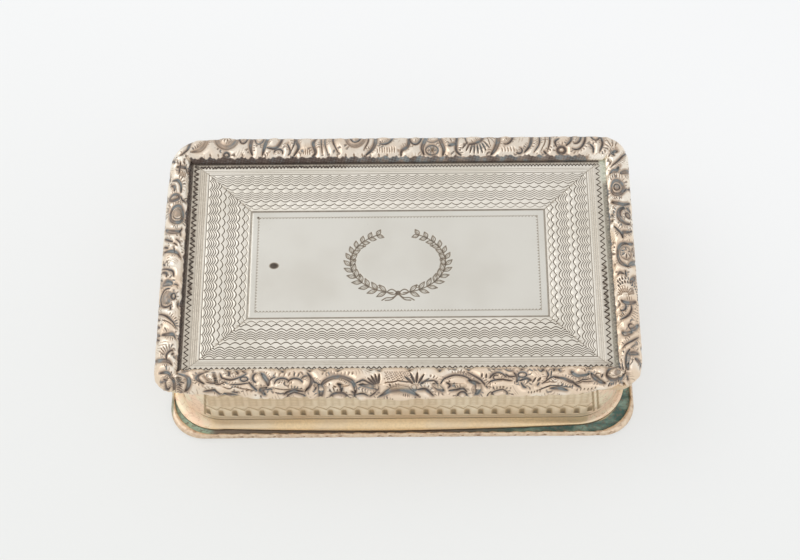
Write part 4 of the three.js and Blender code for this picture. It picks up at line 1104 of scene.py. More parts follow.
@dataclass(frozen=True)
class FootShade:
    """The dark foot of a border's face, below a ragged line: painted shadow and tarnish where the face
    drops to the plate.

    start is where the line runs across the face, in mm, and sway how far it wanders. The foot is
    bare metal past web along the side, and pales over the stretch that paler gives.
    """

    start: float
    tone: float
    sway: float = 0.07
    web: Pair | None = None
    paler: Pair | None = None

    def work(self, face: Relief, rows: np.ndarray) -> None:
        """Darkens the foot of a face.

        Args:
            face: the face's relief.
            rows: how far across the face each row lies, in mm.
        """
        along = face.along
        wander = np.sin(2.6 * along + 1.6 * np.sin(0.7 * along))
        wander = wander + 0.6 * np.sin(6.1 * along + 2.0 * np.sin(1.3 * along))
        foot = smooth_step(0.0, 0.22, rows[:, None] - (self.start + self.sway * wander))
        shade_and_grime = np.sin(4.1 * along + 9.0 * face.across) * np.sin(7.3 * along - 5.0 * face.across)
        tone = self.tone
        if self.web:
            tone = tone - 0.7 * smooth_step(*self.web, along)
        if self.paler:
            paler = smooth_step(*self.paler, along)
            tone = tone - 0.2 * paler - 0.1 * paler * np.sin(1.7 * along)
        # Painted shadow and tarnish over the foot of the face, uneven along the side
        face.dark = np.maximum(face.dark * (1 - foot), (tone - 0.04 - 0.1 * shade_and_grime) * foot)


@dataclass
class Moulding:
    """Four strips of one section round the box, mitred at the corners and carved on their face.

    The section runs from the lower lip over the top to the inner foot. lips says how far the lip is
    drawn in along each side and scallop how deep it is lobed. tuck is how far the inner foot moves
    in at the two short sides, and broaden how much rounder the corners are further in.
    """

    half_x: float
    half_y: float
    radius: float
    section: tuple[Pair, ...]
    backing: tuple[Pair, ...]
    pitch: float = 0.1
    mitre_reach: float = 0.9
    lips: dict[Side, tuple[Pair, ...]] = field(default_factory=dict)
    scallop: float = 0.0
    tuck: float = 0.0
    feet: dict[Side, FootShade] = field(default_factory=dict)
    is_flanked: bool = False
    broaden: float = 0.0
    back_shade: float = 0.0
    lobe_pitch: float = 2.7
    yielding_rows: Pair = (1.5, 5.5)
    lip_rows: Pair = (2.6, 4.6)
    foot_rows: Pair = (5.6, 7.6)

    def __post_init__(self) -> None:
        """Works out the rows across the face: run, inset, height and normal."""
        curve = flowing(self.section, 20)
        steps = np.linalg.norm(np.diff(curve, axis=0), axis=1)
        run = np.concatenate([[0], np.cumsum(steps)])
        self.rows = np.linspace(0, run[-1], round(run[-1] / self.pitch) + 1)
        self.inset = np.interp(self.rows, run, curve[:, 0])
        self.level = np.interp(self.rows, run, curve[:, 1])
        lean = -np.gradient(self.inset, self.rows)
        climb = np.gradient(self.level, self.rows)
        self.normal_out = climb / np.hypot(lean, climb)
        self.normal_up = -lean / np.hypot(lean, climb)
        lip = int(np.argmin(self.inset))
        self.upper_inset = self.inset[lip:]
        self.upper_run = self.rows[lip:]
        self.yielding = 1 - smooth_step(*(self.rows[lip] + np.array(self.yielding_rows)), self.rows)

    def halves(self, side: Side) -> Pair:
        """Half length along a side and half distance across it."""
        return (self.half_x, self.half_y) if side.is_long else (self.half_y, self.half_x)

    def lay(self, side: Side, inset: np.ndarray) -> tuple[np.ndarray, ...]:
        """Lays rows of given inset along a side and round half of each corner.

        Args:
            side: the side.
            inset: distance of each row inwards from the outline.

        Returns:
            Along, out and the two parts of the outward direction, each rows by columns, and the
            distance of each column from its nearer mitre.
        """
        half, reach = self.halves(side)
        straight = half - self.radius
        arc = math.radians(45)
        corner = np.linspace(0, arc, max(4, round(self.radius * 0.55 * arc / self.pitch)) + 1)[1:]
        run = np.linspace(-straight, straight, round(2 * straight / self.pitch) + 1)
        turn = np.concatenate([-corner[::-1], np.zeros(len(run)), corner])[None, :]
        run = np.concatenate([np.full(len(corner), -straight), run, np.full(len(corner), straight)])
        fuller = self.broaden * np.clip(inset / 0.42, 0, 1)
        bend = np.maximum(self.radius - inset + fuller, 0)[:, None]
        middle = half - inset[:, None] - bend
        along = np.clip(run[None, :], -middle, middle)
        if self.broaden:
            along = run[None, :] * middle / straight
        along = np.where(np.abs(turn) > 0, np.sign(turn) * middle, along) + bend * np.sin(turn)
        out = reach - inset[:, None] - bend + bend * np.cos(turn)
        spread = (arc - np.abs(turn[0])) * self.radius * 0.6 + straight - np.abs(run)
        flat = np.ones_like(out)
        return along, out, np.sin(turn) * flat, np.cos(turn) * flat, spread

    def drawn_in(self, side: Side, along: np.ndarray, spread: np.ndarray) -> np.ndarray:
        """How far the lip stands in from the outline at each column of a side."""
        points = np.array(self.lips.get(side, ((0.0, 0.0),)))
        lobe = np.abs(np.sin(np.pi * (along / self.lobe_pitch + 0.3 * np.sin(0.8 * along)))) ** 0.6
        notch = self.scallop * (1 - lobe) * smooth_step(0.2, 1.2, spread)
        notch = notch if side is Side.FRONT else 0.3 * notch
        return np.interp(along, points[:, 0], points[:, 1]) + notch

    def carve(self, carving: dict[Side, Sequence[Motif]]) -> dict[Side, Relief]:
        """Carves the four faces and makes them meet at the mitres.

        Args:
            carving: the motifs of each side.

        Returns:
            The relief of each side.
        """
        faces: dict[Side, Relief] = {}
        for side in Side:
            along, out, _, _, _ = self.lay(side, self.inset)
            straight_inset = self.halves(side)[1] - out
            shift = np.interp(straight_inset, self.upper_inset, self.upper_run)
            shift = shift - np.interp(self.inset, self.upper_inset, self.upper_run)[:, None]
            face = Relief(along, self.rows[:, None] + shift)
            for motif in carving[side]:
                motif.work(face)
            if self.is_flanked:
                face.flank()
            face.swell = face.swell * (1 - 0.7 * smooth_step(0.1, 0.9, face.dark))
            # Painted shade: the back face is darkened evenly all over
            if side is Side.BACK:
                face.dark = np.maximum(face.dark, self.back_shade)
            if side in self.feet:
                self.feet[side].work(face, self.rows)
            faces[side] = face
        self.join(faces)
        return faces

    def join(self, faces: dict[Side, Relief]) -> None:
        """Draws each two neighbours towards their mean near the mitre that they share."""
        meetings = (
            (Side.FRONT, -1, Side.RIGHT, 0), (Side.RIGHT, -1, Side.BACK, -1),
            (Side.BACK, 0, Side.LEFT, -1), (Side.LEFT, 0, Side.FRONT, 0),
        )
        spreads = {side: self.lay(side, self.inset[:1])[4] for side in Side}
        for one, one_end, other, other_end in meetings:
            for layer in ("cut", "swell", "dark"):
                first, second = getattr(faces[one], layer), getattr(faces[other], layer)
                shared = 0.5 * (first[:, one_end] + second[:, other_end])
                for side, end in ((one, one_end), (other, other_end)):
                    values = getattr(faces[side], layer)
                    half = values.shape[1] // 2
                    columns = slice(0, half) if end == 0 else slice(half, None)
                    pull = 1 - smooth_step(0, self.mitre_reach, spreads[side][columns])
                    gap = shared - values[:, end]
                    values[:, columns] += pull[None, :] * gap[:, None]

    def strip(self, name: str, side: Side, face: Relief, edge: float = 0.3) -> bpy.types.Object:
        """Makes one strip.

        Args:
            name: name of the piece.
            side: where it runs.
            face: its relief.
            edge: how far from the face's two edges the relief has its full depth.

        Returns:
            The piece, closed.
        """
        along, out, side_part, out_part, spread = self.lay(side, self.inset)
        drawn = self.drawn_in(side, self.lay(side, np.zeros(1))[0][0], spread)
        shift = drawn[None, :] * self.yielding[:, None]
        if side is not Side.BACK:
            tuck = self.tuck if side is not Side.FRONT else -0.8 * self.tuck
            shift = shift + tuck * smooth_step(*self.foot_rows, self.rows)[:, None]
        fade = smooth_step(0, edge, self.rows) * smooth_step(0, edge, self.rows[-1] - self.rows)
        if side is not Side.FRONT:
            fade = fade * (0.15 + 0.85 * smooth_step(*self.lip_rows, self.rows))
        height = face.height() * fade[:, None]
        outward = height * self.normal_out[:, None] - shift
        along = along + outward * side_part
        out = out + outward * out_part
        level = self.level[:, None] + height * self.normal_up[:, None] + 0.2 * np.maximum(shift, 0)
        backing = np.array(self.backing)
        back_along, back_out, _, _, _ = self.lay(side, backing[:, 0])
        along = np.vstack([along, back_along, along[:1]])
        out = np.vstack([out, back_out, out[:1]])
        level = np.vstack([level, backing[:, 1:] * np.ones_like(back_out), level[:1]])
        half, reach = self.halves(side)
        limit = half - reach + out
        x, y = side.spot(np.clip(along, -limit, limit), out)
        piece = sheet_of(name, np.stack([x, y, level], -1))
        hidden = np.full_like(back_out, 0.4)
        mark(piece, "hollow", np.vstack([face.dark, hidden, face.dark[:1]]))
        close_up(piece)
        return piece


@dataclass
class LidBorder:
    """The cast scroll borders on the lid."""

    shape: Moulding = field(default_factory=lambda: Moulding(
        half_x=43.05, half_y=26.7, radius=4.5,
        section=(
            (1.30, 16.40), (0.60, 16.45), (0.12, 16.75), (0.02, 17.10), (0.22, 17.70), (0.62, 18.35),
            (1.15, 18.88), (1.85, 19.25), (2.65, 19.42), (3.45, 19.32), (4.10, 18.98), (4.55, 18.50),
            (4.90, 17.97),
        ),
        backing=((2.6, 17.97), (2.6, 16.4)),
        lips={
            Side.FRONT: (
                (-41.7, 0.85), (-40.5, 1.15), (-38.5, 1.2), (-36.0, 1.0), (-33.5, 0.95), (-31.0, 0.45),
                (-27.5, 0.42), (-24.0, 0.15), (14.0, 0.15), (21.0, 0.3), (28.0, 0.42), (31.0, 0.55),
                (33.5, 0.95), (36.0, 1.35), (38.2, 2.0), (40.2, 1.8), (41.7, 1.5),
            ),
            Side.RIGHT: (
                (-25.4, 1.5), (-24.0, 1.1), (-22.8, 0.7), (-20.0, 0.2), (-17.0, 0.1), (24.0, 0.0),
                (25.4, -0.3),
            ),
            Side.BACK: (
                (-41.7, 0.6), (-40.2, 0.2), (-38.5, -0.5), (-36.0, -0.95), (-33.0, -1.15),
                (-16.0, -1.0), (36.0, -1.0), (39.0, -0.8), (41.7, -0.3),
            ),
            Side.LEFT: (
                (-25.4, 0.85), (-23.5, 0.4), (-21.7, 0.15), (-3.0, 0.1), (6.0, 0.2), (15.0, 0.3),
                (21.7, 0.6), (24.0, 0.8), (25.4, 0.6),
            ),
        },
        scallop=0.24,
        tuck=-0.4,
        feet={
            Side.BACK: FootShade(6.95, 0.95, sway=0.15, web=(34.6, 36.0), paler=(-16.0, 2.0)),
            Side.LEFT: FootShade(7.55, 0.95),
            Side.RIGHT: FootShade(7.7, 0.75, web=(15.5, 18.5)),
        },
        is_flanked=True,
        back_shade=0.17,
    ))
    carving: dict[Side, Sequence[Motif]] = field(default_factory=lambda: {
        Side.FRONT: FRONT_CARVING, Side.BACK: BACK_CARVING,
        Side.LEFT: LEFT_CARVING, Side.RIGHT: RIGHT_CARVING,
    })

    def build(self) -> Relief:
        """Makes the four strips and returns the front one's relief."""
        faces = self.shape.carve(self.carving)
        for side in Side:
            piece = self.shape.strip(f"lid_scrolls_{side.value}", side, faces[side])
            hand_over(piece, "lid", "cast_silver", CAST_SILVER, f"lid_border_{side.value}")
        return faces[Side.FRONT]


@dataclass(frozen=True)
class TurnedLine:
    """One line of the engine turning: its distance in from the outer rectangle and how it waves."""

    distance: float
    phase: float | None = 0.0
    width: float = 0.2
    tone: float = 0.92
    swing: float = 0.45
    pitch: float = 1.8

    def depth_in(self, along: np.ndarray) -> np.ndarray:
        """Distance in from the rectangle at each place along it."""
        if self.phase is None:
            return np.full_like(along, self.distance)
        wave = np.abs(np.sin(np.pi * (along / self.pitch + self.phase)))
        return self.distance + self.swing * (wave - 0.6)


@dataclass(frozen=True)
class Margin:
    """The strip outside a waved frame: a saw-toothed edge, then the dark gap before the border, painted
    shadow and tarnish under the border's edge.

    saw_line is the teeth's distance in from the outer rectangle, swing and pitch their size, gap
    how dark the gap is and haze how dark the bright metal is.
    """

    saw_line: float
    swing: float
    gap: float
    pitch: float
    haze: float

    def teeth(self, along: np.ndarray) -> np.ndarray:
        """Distance in of the saw-toothed edge at each place along it."""
        return self.saw_line - self.swing * (4 * np.abs((along / self.pitch) % 1 - 0.5) - 1)


# One row of a frame: its distance in from the outer rectangle, its height and how dark it is
Row = tuple[np.ndarray, float, np.ndarray | float]


@dataclass
class TurnedLid:
    """The engine-turned lid: four waved frames mitred round a plain panel with a wreath.

    strength says how much broader and deeper the lines of each frame are cut than their own width,
    and smears where the dark gap in a frame's margin is darker and dotted. gap_rows are the rows across
    the dark gap, painted shadow and tarnish under the border's edge: how far out each lies, the phase
    of its speckle and its share of the gap's darkness.
    """

    frame_x: float = 35.0
    frame_y: float = 19.35
    frame_depth: float = 8.1
    edge_x: float = 39.9
    edge_y: float = 23.55
    step: float = 0.15
    line_depth: float = 0.05

    lines: tuple[TurnedLine, ...] = (
        TurnedLine(-1.55, None, 0.12, 0.4), TurnedLine(-1.2, None, 0.12, 0.35),
        TurnedLine(-0.85, None, 0.12, 0.4), TurnedLine(-0.5, None, 0.12, 0.35),
        TurnedLine(0.0, None, 0.18, 0.8), TurnedLine(0.5), TurnedLine(0.92), TurnedLine(1.34),
        TurnedLine(1.76), TurnedLine(2.28, 0.0, 0.26, 0.95), TurnedLine(3.15, 0.5, 0.26, 0.95),
        TurnedLine(4.0, 0.0, 0.22, 0.85), TurnedLine(4.44), TurnedLine(4.86),
        TurnedLine(5.28), TurnedLine(5.85, 0.0, 0.26, 0.95), TurnedLine(6.75, 0.5, 0.26, 0.95),
        TurnedLine(7.45, 0.0, 0.2, 0.7),
    )

    margins: dict[Side, Margin] = field(default_factory=lambda: {
        Side.FRONT: Margin(-1.9, 0.25, 0.8, 0.95, 0.2), Side.BACK: Margin(-1.62, 0.24, 0.9, 0.63, 0.12),
        Side.LEFT: Margin(-2.4, 0.4, 0.95, 1.12, 0.3), Side.RIGHT: Margin(-2.15, 0.42, 0.8, 1.22, 0.2),
    })
    smears: dict[Side, Pair] = field(default_factory=lambda: {
        Side.LEFT: (-9.0, 26.0), Side.RIGHT: (-14.0, 1.0), Side.BACK: (-42.0, -8.0),
    })
    strength: dict[Side, float] = field(default_factory=lambda: {
        Side.FRONT: 1.45, Side.BACK: 1.05, Side.LEFT: 1.4, Side.RIGHT: 1.25,
    })
    widest_line: float = 0.3
    gap_rows: tuple[tuple[float, float, float], ...] = (
        (0.02, 0.0, 0.4), (0.14, 2.1, 0.85), (0.3, 4.4, 0.95), (0.5, 1.0, 1.0), (0.75, 0.8, 1.0),
    )
    bloom_x: Pair = (37.2, 37.7)
    bloom_y: Pair = (15.5, 18.5)
    strip_x: Pair = (37.55, 37.75)
    smoke_x: Pair = (22.0, 38.0)
    smoke_y: Pair = (18.6, 20.6)

    def rows(self, side: Side, along: np.ndarray) -> list[Row]:
        """Rows of a frame's face from its panel edge outwards.

        Args:
            side: which frame.
            along: places of the columns.

        Returns:
            A list of rows.
        """
        margin = self.margins[side]
        strength = self.strength[side]
        made: list[Row] = [
            # The panel's edge: a small step with a dark line of painted shadow along it
            (np.full_like(along, self.frame_depth), -0.06, 0.9),
            (np.full_like(along, self.frame_depth - 0.14), 0.0, 0.1),
        ]
        for line in reversed(self.lines):
            if line.distance < margin.saw_line + margin.swing + 0.3:
                continue
            middle = line.depth_in(along)
            half = 0.5 * min(line.width * strength, self.widest_line)
            plain = margin.haze if line.distance < 0 else 0.0
            made.append((middle + half, 0.0, plain))
            made.append((middle, -self.line_depth * line.width * strength / 0.2, line.tone))
            made.append((middle - half, 0.0, plain))
        shelf = np.full_like(along, margin.saw_line + margin.swing + 0.18)
        made.append((shelf, 0.0, margin.haze))
        wander = np.sin(2.3 * along) + np.sin(5.1 * along + 1.0)
        smear = np.zeros_like(along)
        if side in self.smears:
            low, high = self.smears[side]
            smear = window((low, low + 3), (high - 3, high), along)
        dots = smear * (0.5 + 0.5 * np.sin(2 * np.pi * along / 0.66 + 1.5 * wander))
        saw = margin.teeth(along)
        made += [
            (saw + 0.17, 0.0, np.maximum(margin.haze, 0.8 * dots)),
            (saw + 0.05, -0.07, 0.95),
            (saw - 0.05, -0.07, 0.95),
            (saw - 0.17, 0.0, margin.gap * (0.35 + 0.6 * smear - 0.5 * dots)),
        ]
        # The dark gap: painted shadow and tarnish under the border's edge, speckled row by row
        for shift, turn, share in self.gap_rows:
            grit = 2 * np.pi * along / (0.55 * margin.pitch) + wander + turn
            speckle = 0.84 + 0.16 * np.sin(grit)
            distance = np.full_like(along, margin.saw_line - margin.swing - 0.15 - shift)
            made.append((distance, 0.0, margin.gap * share * speckle))
        return made

    def mitred(self, along: np.ndarray, distance: np.ndarray,
               limit: np.ndarray) -> tuple[np.ndarray, ...]:
        """Ends a row where it meets the mitres.

        Args:
            along: places of the columns.
            distance: how far in from the outer rectangle the row runs at each column.
            limit: half the frame's length at that distance.

        Returns:
            The columns' places and distances in, with those past a mitre gathered on it.
        """
        kept = np.nonzero(np.abs(along) <= limit)[0]
        ends = []
        for last, beyond in ((kept[0], kept[0] - 1), (kept[-1], kept[-1] + 1)):
            beyond = min(max(beyond, 0), len(along) - 1)
            over = abs(along[beyond]) - limit[beyond]
            under = limit[last] - abs(along[last])
            share = under / (under + over) if beyond != last else 0.0
            ends.append([
                values[last] + share * (values[beyond] - values[last])
                for values in (along, distance)
            ])
        inward = distance.copy()
        inward[: kept[0]] = ends[0][1]
        inward[kept[-1] + 1:] = ends[1][1]
        return np.clip(along, ends[0][0], ends[1][0]), inward

    def frame(self, side: Side) -> bpy.types.Object:
        """Makes one of the four waved frames."""
        halves, edges = (self.frame_x, self.frame_y), (self.edge_x, self.edge_y)
        half, reach = halves if side.is_long else halves[::-1]
        edge, other_edge = edges if side.is_long else edges[::-1]
        count = int(edge / self.step) + 1
        along = np.arange(-count, count + 1) * self.step
        widen = (edge - half) / (other_edge - reach)
        rim = np.full_like(along, reach - other_edge)
        foot = np.full_like(along, self.frame_depth)
        plan = [
            (distance, PLATE_TOP + height, dark) for distance, height, dark in self.rows(side, along)
        ]
        plan += [(rim, PLATE_TOP, 0.5), (rim, PLATE_UNDERSIDE, 0.0), (foot, PLATE_UNDERSIDE, 0.0)]
        plan.append(plan[0])
        places: list[np.ndarray] = []
        marks: dict[str, list[np.ndarray]] = {"hollow": [], "bloom": [], "inside": []}
        for distance, level, dark in plan:
            limit = half - np.where(distance > 0, distance, distance * widen)
            x, inward = self.mitred(along, distance, limit)
            at_mitre = 1 - smooth_step(0.0, 0.09, np.minimum(x - x[0], x[-1] - x))
            is_face = level > PLATE_UNDERSIDE + 0.1
            height = level - (0.4 * self.line_depth * at_mitre if is_face else 0.0)
            px, py = side.spot(x, reach - inward)
            places.append(np.stack([px, py, height * np.ones_like(px)], -1))
            bloom = smooth_step(*self.bloom_x, px) * smooth_step(*self.bloom_y, py) * is_face
            bloom = np.maximum(bloom, 0.24 * smooth_step(*self.strip_x, px) * is_face)
            smoke = smooth_step(*self.smoke_x, px) * smooth_step(*self.smoke_y, -py) * is_face
            dark = np.maximum(dark * (1 - bloom), 0.3 * smoke)
            dark = np.maximum(dark, 0.5 * at_mitre if is_face else 0.0)
            marks["hollow"].append(dark)
            marks["bloom"].append(bloom)
            marks["inside"].append(np.full_like(px, not is_face))
        piece = sheet_of(f"lid_waves_{side.value}", np.stack(places))
        for name, values in marks.items():
            mark(piece, name, np.stack(values))
        close_up(piece, weld=0.004, smooth=30)
        return piece

    def panel(self) -> bpy.types.Object:
        """Makes the plain panel with its fine border, the engraved wreath, a stain and a dot."""
        half_x = self.frame_x - self.frame_depth
        half_y = self.frame_y - self.frame_depth
        wreath = Wreath()
        x_lines = graded(half_x, wreath.half_x, 0.12, 0.15)
        y_lines = graded(half_y, wreath.half_y, 0.12, 0.13)
        x, y = np.meshgrid(x_lines, y_lines)
        face = Relief(x, y)
        wreath.work(face)
        from_x, from_y = half_x - np.abs(x), half_y - np.abs(y)
        edge = np.minimum(from_x, from_y)
        level = PLATE_TOP - 0.35 * face.cut - 0.07 * (1 - smooth_step(0.0, 0.5, edge))
        saw_run = np.where(from_x < from_y, y, x)
        zigzag = 1.35 + 0.2 * (4 * np.abs((saw_run / 0.6) % 1 - 0.5) - 1)
        is_clear = (from_x > 1.2) & (from_y > 1.2)
        line = np.clip(1 - np.abs(edge - zigzag) / 0.16, 0, 1) * is_clear
        # Painted shadow: a dark line along the step at the panel's edge
        edge_shadow = np.clip(1 - np.abs(edge - 0.1) / 0.12, 0, 1)
        stain = 1 - smooth_step(0.55, 1.15, np.hypot((x + 22.4) / 0.95, (y + 0.35) / 0.75))
        dot = 1 - smooth_step(0.12, 0.3, np.hypot(x + 25.6, y - 9.9))
        dark = face.dark
        for share, here in ((0.8, line), (0.9, edge_shadow), (0.85, stain), (0.9, dot)):
            dark = np.maximum(dark, share * here)
        points = np.stack([x, y, level - 0.03 * line], -1)
        points = np.pad(points, ((1, 1), (1, 1), (0, 0)), mode="edge")
        skirt = np.ones(points.shape[:2], bool)
        skirt[1:-1, 1:-1] = False
        points[skirt, 2] = PLATE_UNDERSIDE
        piece = sheet_of("lid_panel", points)
        mark(piece, "hollow", np.pad(dark, 1))
        mark(piece, "inside", skirt)
        close_up(piece, weld=0.004, smooth=30)
        return piece

    def build(self) -> None:
        """Makes the frames and the panel."""
        for side in Side:
            hand_over(self.frame(side), "lid", "silver", WAVED_SILVER, "lid_plate")
        hand_over(self.panel(), "lid", "silver", TURNED_SILVER, "lid_plate")


def graded(half: float, fine_half: float, fine: float, coarse: float) -> np.ndarray:
    """Places of grid lines from -half to half, closer together in the middle."""
    inner = np.linspace(0, fine_half, round(fine_half / fine) + 1)
    outer = np.linspace(fine_half, half, round((half - fine_half) / coarse) + 1)[1:]
    right = np.concatenate([inner, outer])
    return np.concatenate([-right[:0:-1], right])


@dataclass(frozen=True)
class Wreath:
    """A generic engraved wreath: two laurel branches tied at the foot, round an open middle.

    half_x and half_y bound it. Angles are in degrees from the right, along each branch.
    """

    half_x: float = 11.0
    half_y: float = 8.6
    centre_y: float = 0.2
    reach_x: float = 8.6
    reach_y: float = 6.4
    leaves: int = 13
    foot_angle: float = -84.0
    tip_angle: float = 66.0
    first_leaf: float = -76.0
    leaf_angle: float = 11.6
    leaf_length: float = 2.0

    def work(self, face: Relief) -> None:
        """Engraves the wreath on a face."""
        for hand in (-1, 1):
            turns = np.radians(np.linspace(self.foot_angle, self.tip_angle, 40))
            self.engrave(face, np.stack(self.place(hand, turns), -1), 0.2, 0.75, 0.1)
            for index in range(self.leaves):
                turn = math.radians(self.first_leaf + index * self.leaf_angle)
                foot = np.array(self.place(hand, turn))
                way = np.array([-hand * self.reach_x * math.sin(turn), self.reach_y * math.cos(turn)])
                way = way / np.linalg.norm(way)
                aside = np.array([-way[1], way[0]])
                for lean in (-1, 1):
                    long = self.leaf_length - 0.05 * index
                    self.leaf(face, foot, way * 0.78 + aside * 0.62 * lean, long)
                if index % 3 == 1:
                    berry = foot + aside * 0.75 * hand
                    Ring((berry[0], berry[1]), (0.24, 0.24), 0.12, tone=0.7).work(face)
        self.knot(face)

    def place(self, hand: int, turn: np.ndarray | float) -> tuple[np.ndarray | float, ...]:
        """Where a branch runs at a turn, for the left hand, -1, or the right, 1."""
        return hand * self.reach_x * np.cos(turn), self.centre_y + self.reach_y * np.sin(turn)

    def engrave(self, face: Relief, line: np.ndarray, width: float, tone: float, shoulder: float,
                depth: float = 0.12) -> None:
        """Cuts a line of even width."""
        face.stroke(line, np.full(len(line), width), depth, tone, shoulder=shoulder)

    def leaf(self, face: Relief, foot: np.ndarray, way: np.ndarray, long: float) -> None:
        """Engraves one leaf: two bowed edges, a rib and shading on one side."""
        way = way / np.linalg.norm(way)
        aside = np.array([-way[1], way[0]])
        for bow in (-1, 1):
            path = [foot, foot + way * long * 0.5 + aside * 0.36 * bow, foot + way * long]
            self.engrave(face, flowing([tuple(p) for p in path], 6), 0.17, 0.8, 0.06)
        rib = np.array([foot + way * long * part for part in np.linspace(0.1, 0.8, 5)])
        self.engrave(face, rib, 0.12, 0.6, 0.05, depth=0.1)
        for share in (0.3, 0.45, 0.6):
            start = foot + way * long * share
            hatch = np.array([start, start + way * 0.12 + aside * 0.24])
            self.engrave(face, hatch, 0.1, 0.5, 0.04, depth=0.08)

    def knot(self, face: Relief) -> None:
        """Engraves the ribbon bow that ties the branches."""
        low = self.centre_y - self.reach_y
        loop = ((0.0, 0.0), (1.1, 0.75), (1.9, 0.2), (1.0, -0.3), (0.0, 0.0))
        tail = ((0.0, 0.0), (0.9, -0.9), (2.1, -1.0), (2.9, -1.5))
        inner = ((0.3, -0.5), (1.2, -1.35), (2.3, -1.5))
        for hand in (-1, 1):
            for path in (loop, tail, inner):
                line = flowing([(hand * across, low + up) for across, up in path], 8)
                self.engrave(face, line, 0.2, 0.8, 0.08)
        Ring((0.0, low), (0.34, 0.34), 0.2, tone=0.8).work(face)


@dataclass
class Thumbpiece:
    """The crescent at the middle of the front border: the border's lower face, swelling outwards."""

    half: float = 15.3
    swell: float = 0.36
    lift: float = 0.15
    low: float = 0.75
    high: float = 4.1
    back_in: float = 1.0
    back_levels: Pair = (18.3, 17.2)

    def build(self, border: LidBorder, face: Relief) -> None:
        """Makes the crescent over the front border's own carving.

        Args:
            border: the lid borders.
            face: the front border's relief.
        """
        shape = border.shape
        inside = np.nonzero(np.abs(face.along[-1]) <= self.half)[0]
        columns = slice(inside[0], inside[-1] + 1)
        band = np.nonzero((shape.rows >= self.low) & (shape.rows <= self.high))[0]
        along, out, _, _, _ = shape.lay(Side.FRONT, shape.inset[band])
        along, out = along[:, columns], out[:, columns]
        rows = shape.rows[band][:, None]
        rise = window((self.low, self.low + 1.0), (2.4, self.high), rows)
        crescent = np.clip(1 - (along / self.half) ** 2, 0, 1) ** 0.8
        ends = smooth_step(0.0, 0.8, self.half - np.abs(along))
        height = face.height()[band][:, columns] + 0.03 * ends - 0.1 * (1 - ends)
        out = out + height * shape.normal_out[band][:, None] + self.swell * rise * crescent - 0.15
        level = shape.level[band][:, None] + height * shape.normal_up[band][:, None] + self.lift
        y = np.vstack([-out, np.full_like(out[:2], self.back_in - shape.half_y), -out[:1]])
        back = np.array(self.back_levels)[:, None] * np.ones_like(out[:2])
        z = np.vstack([level, back, level[:1]])
        x = np.vstack([along, along[:2], along[:1]])
        piece = sheet_of("thumb_crescent", np.stack([x, y, z], -1))
        dark = face.dark[band][:, columns]
        mark(piece, "hollow", np.vstack([dark, np.zeros_like(dark[:2]), dark[:1]]))
        close_up(piece)
        hand_over(piece, "lid", "cast_silver", CAST_SILVER, "thumbpiece")


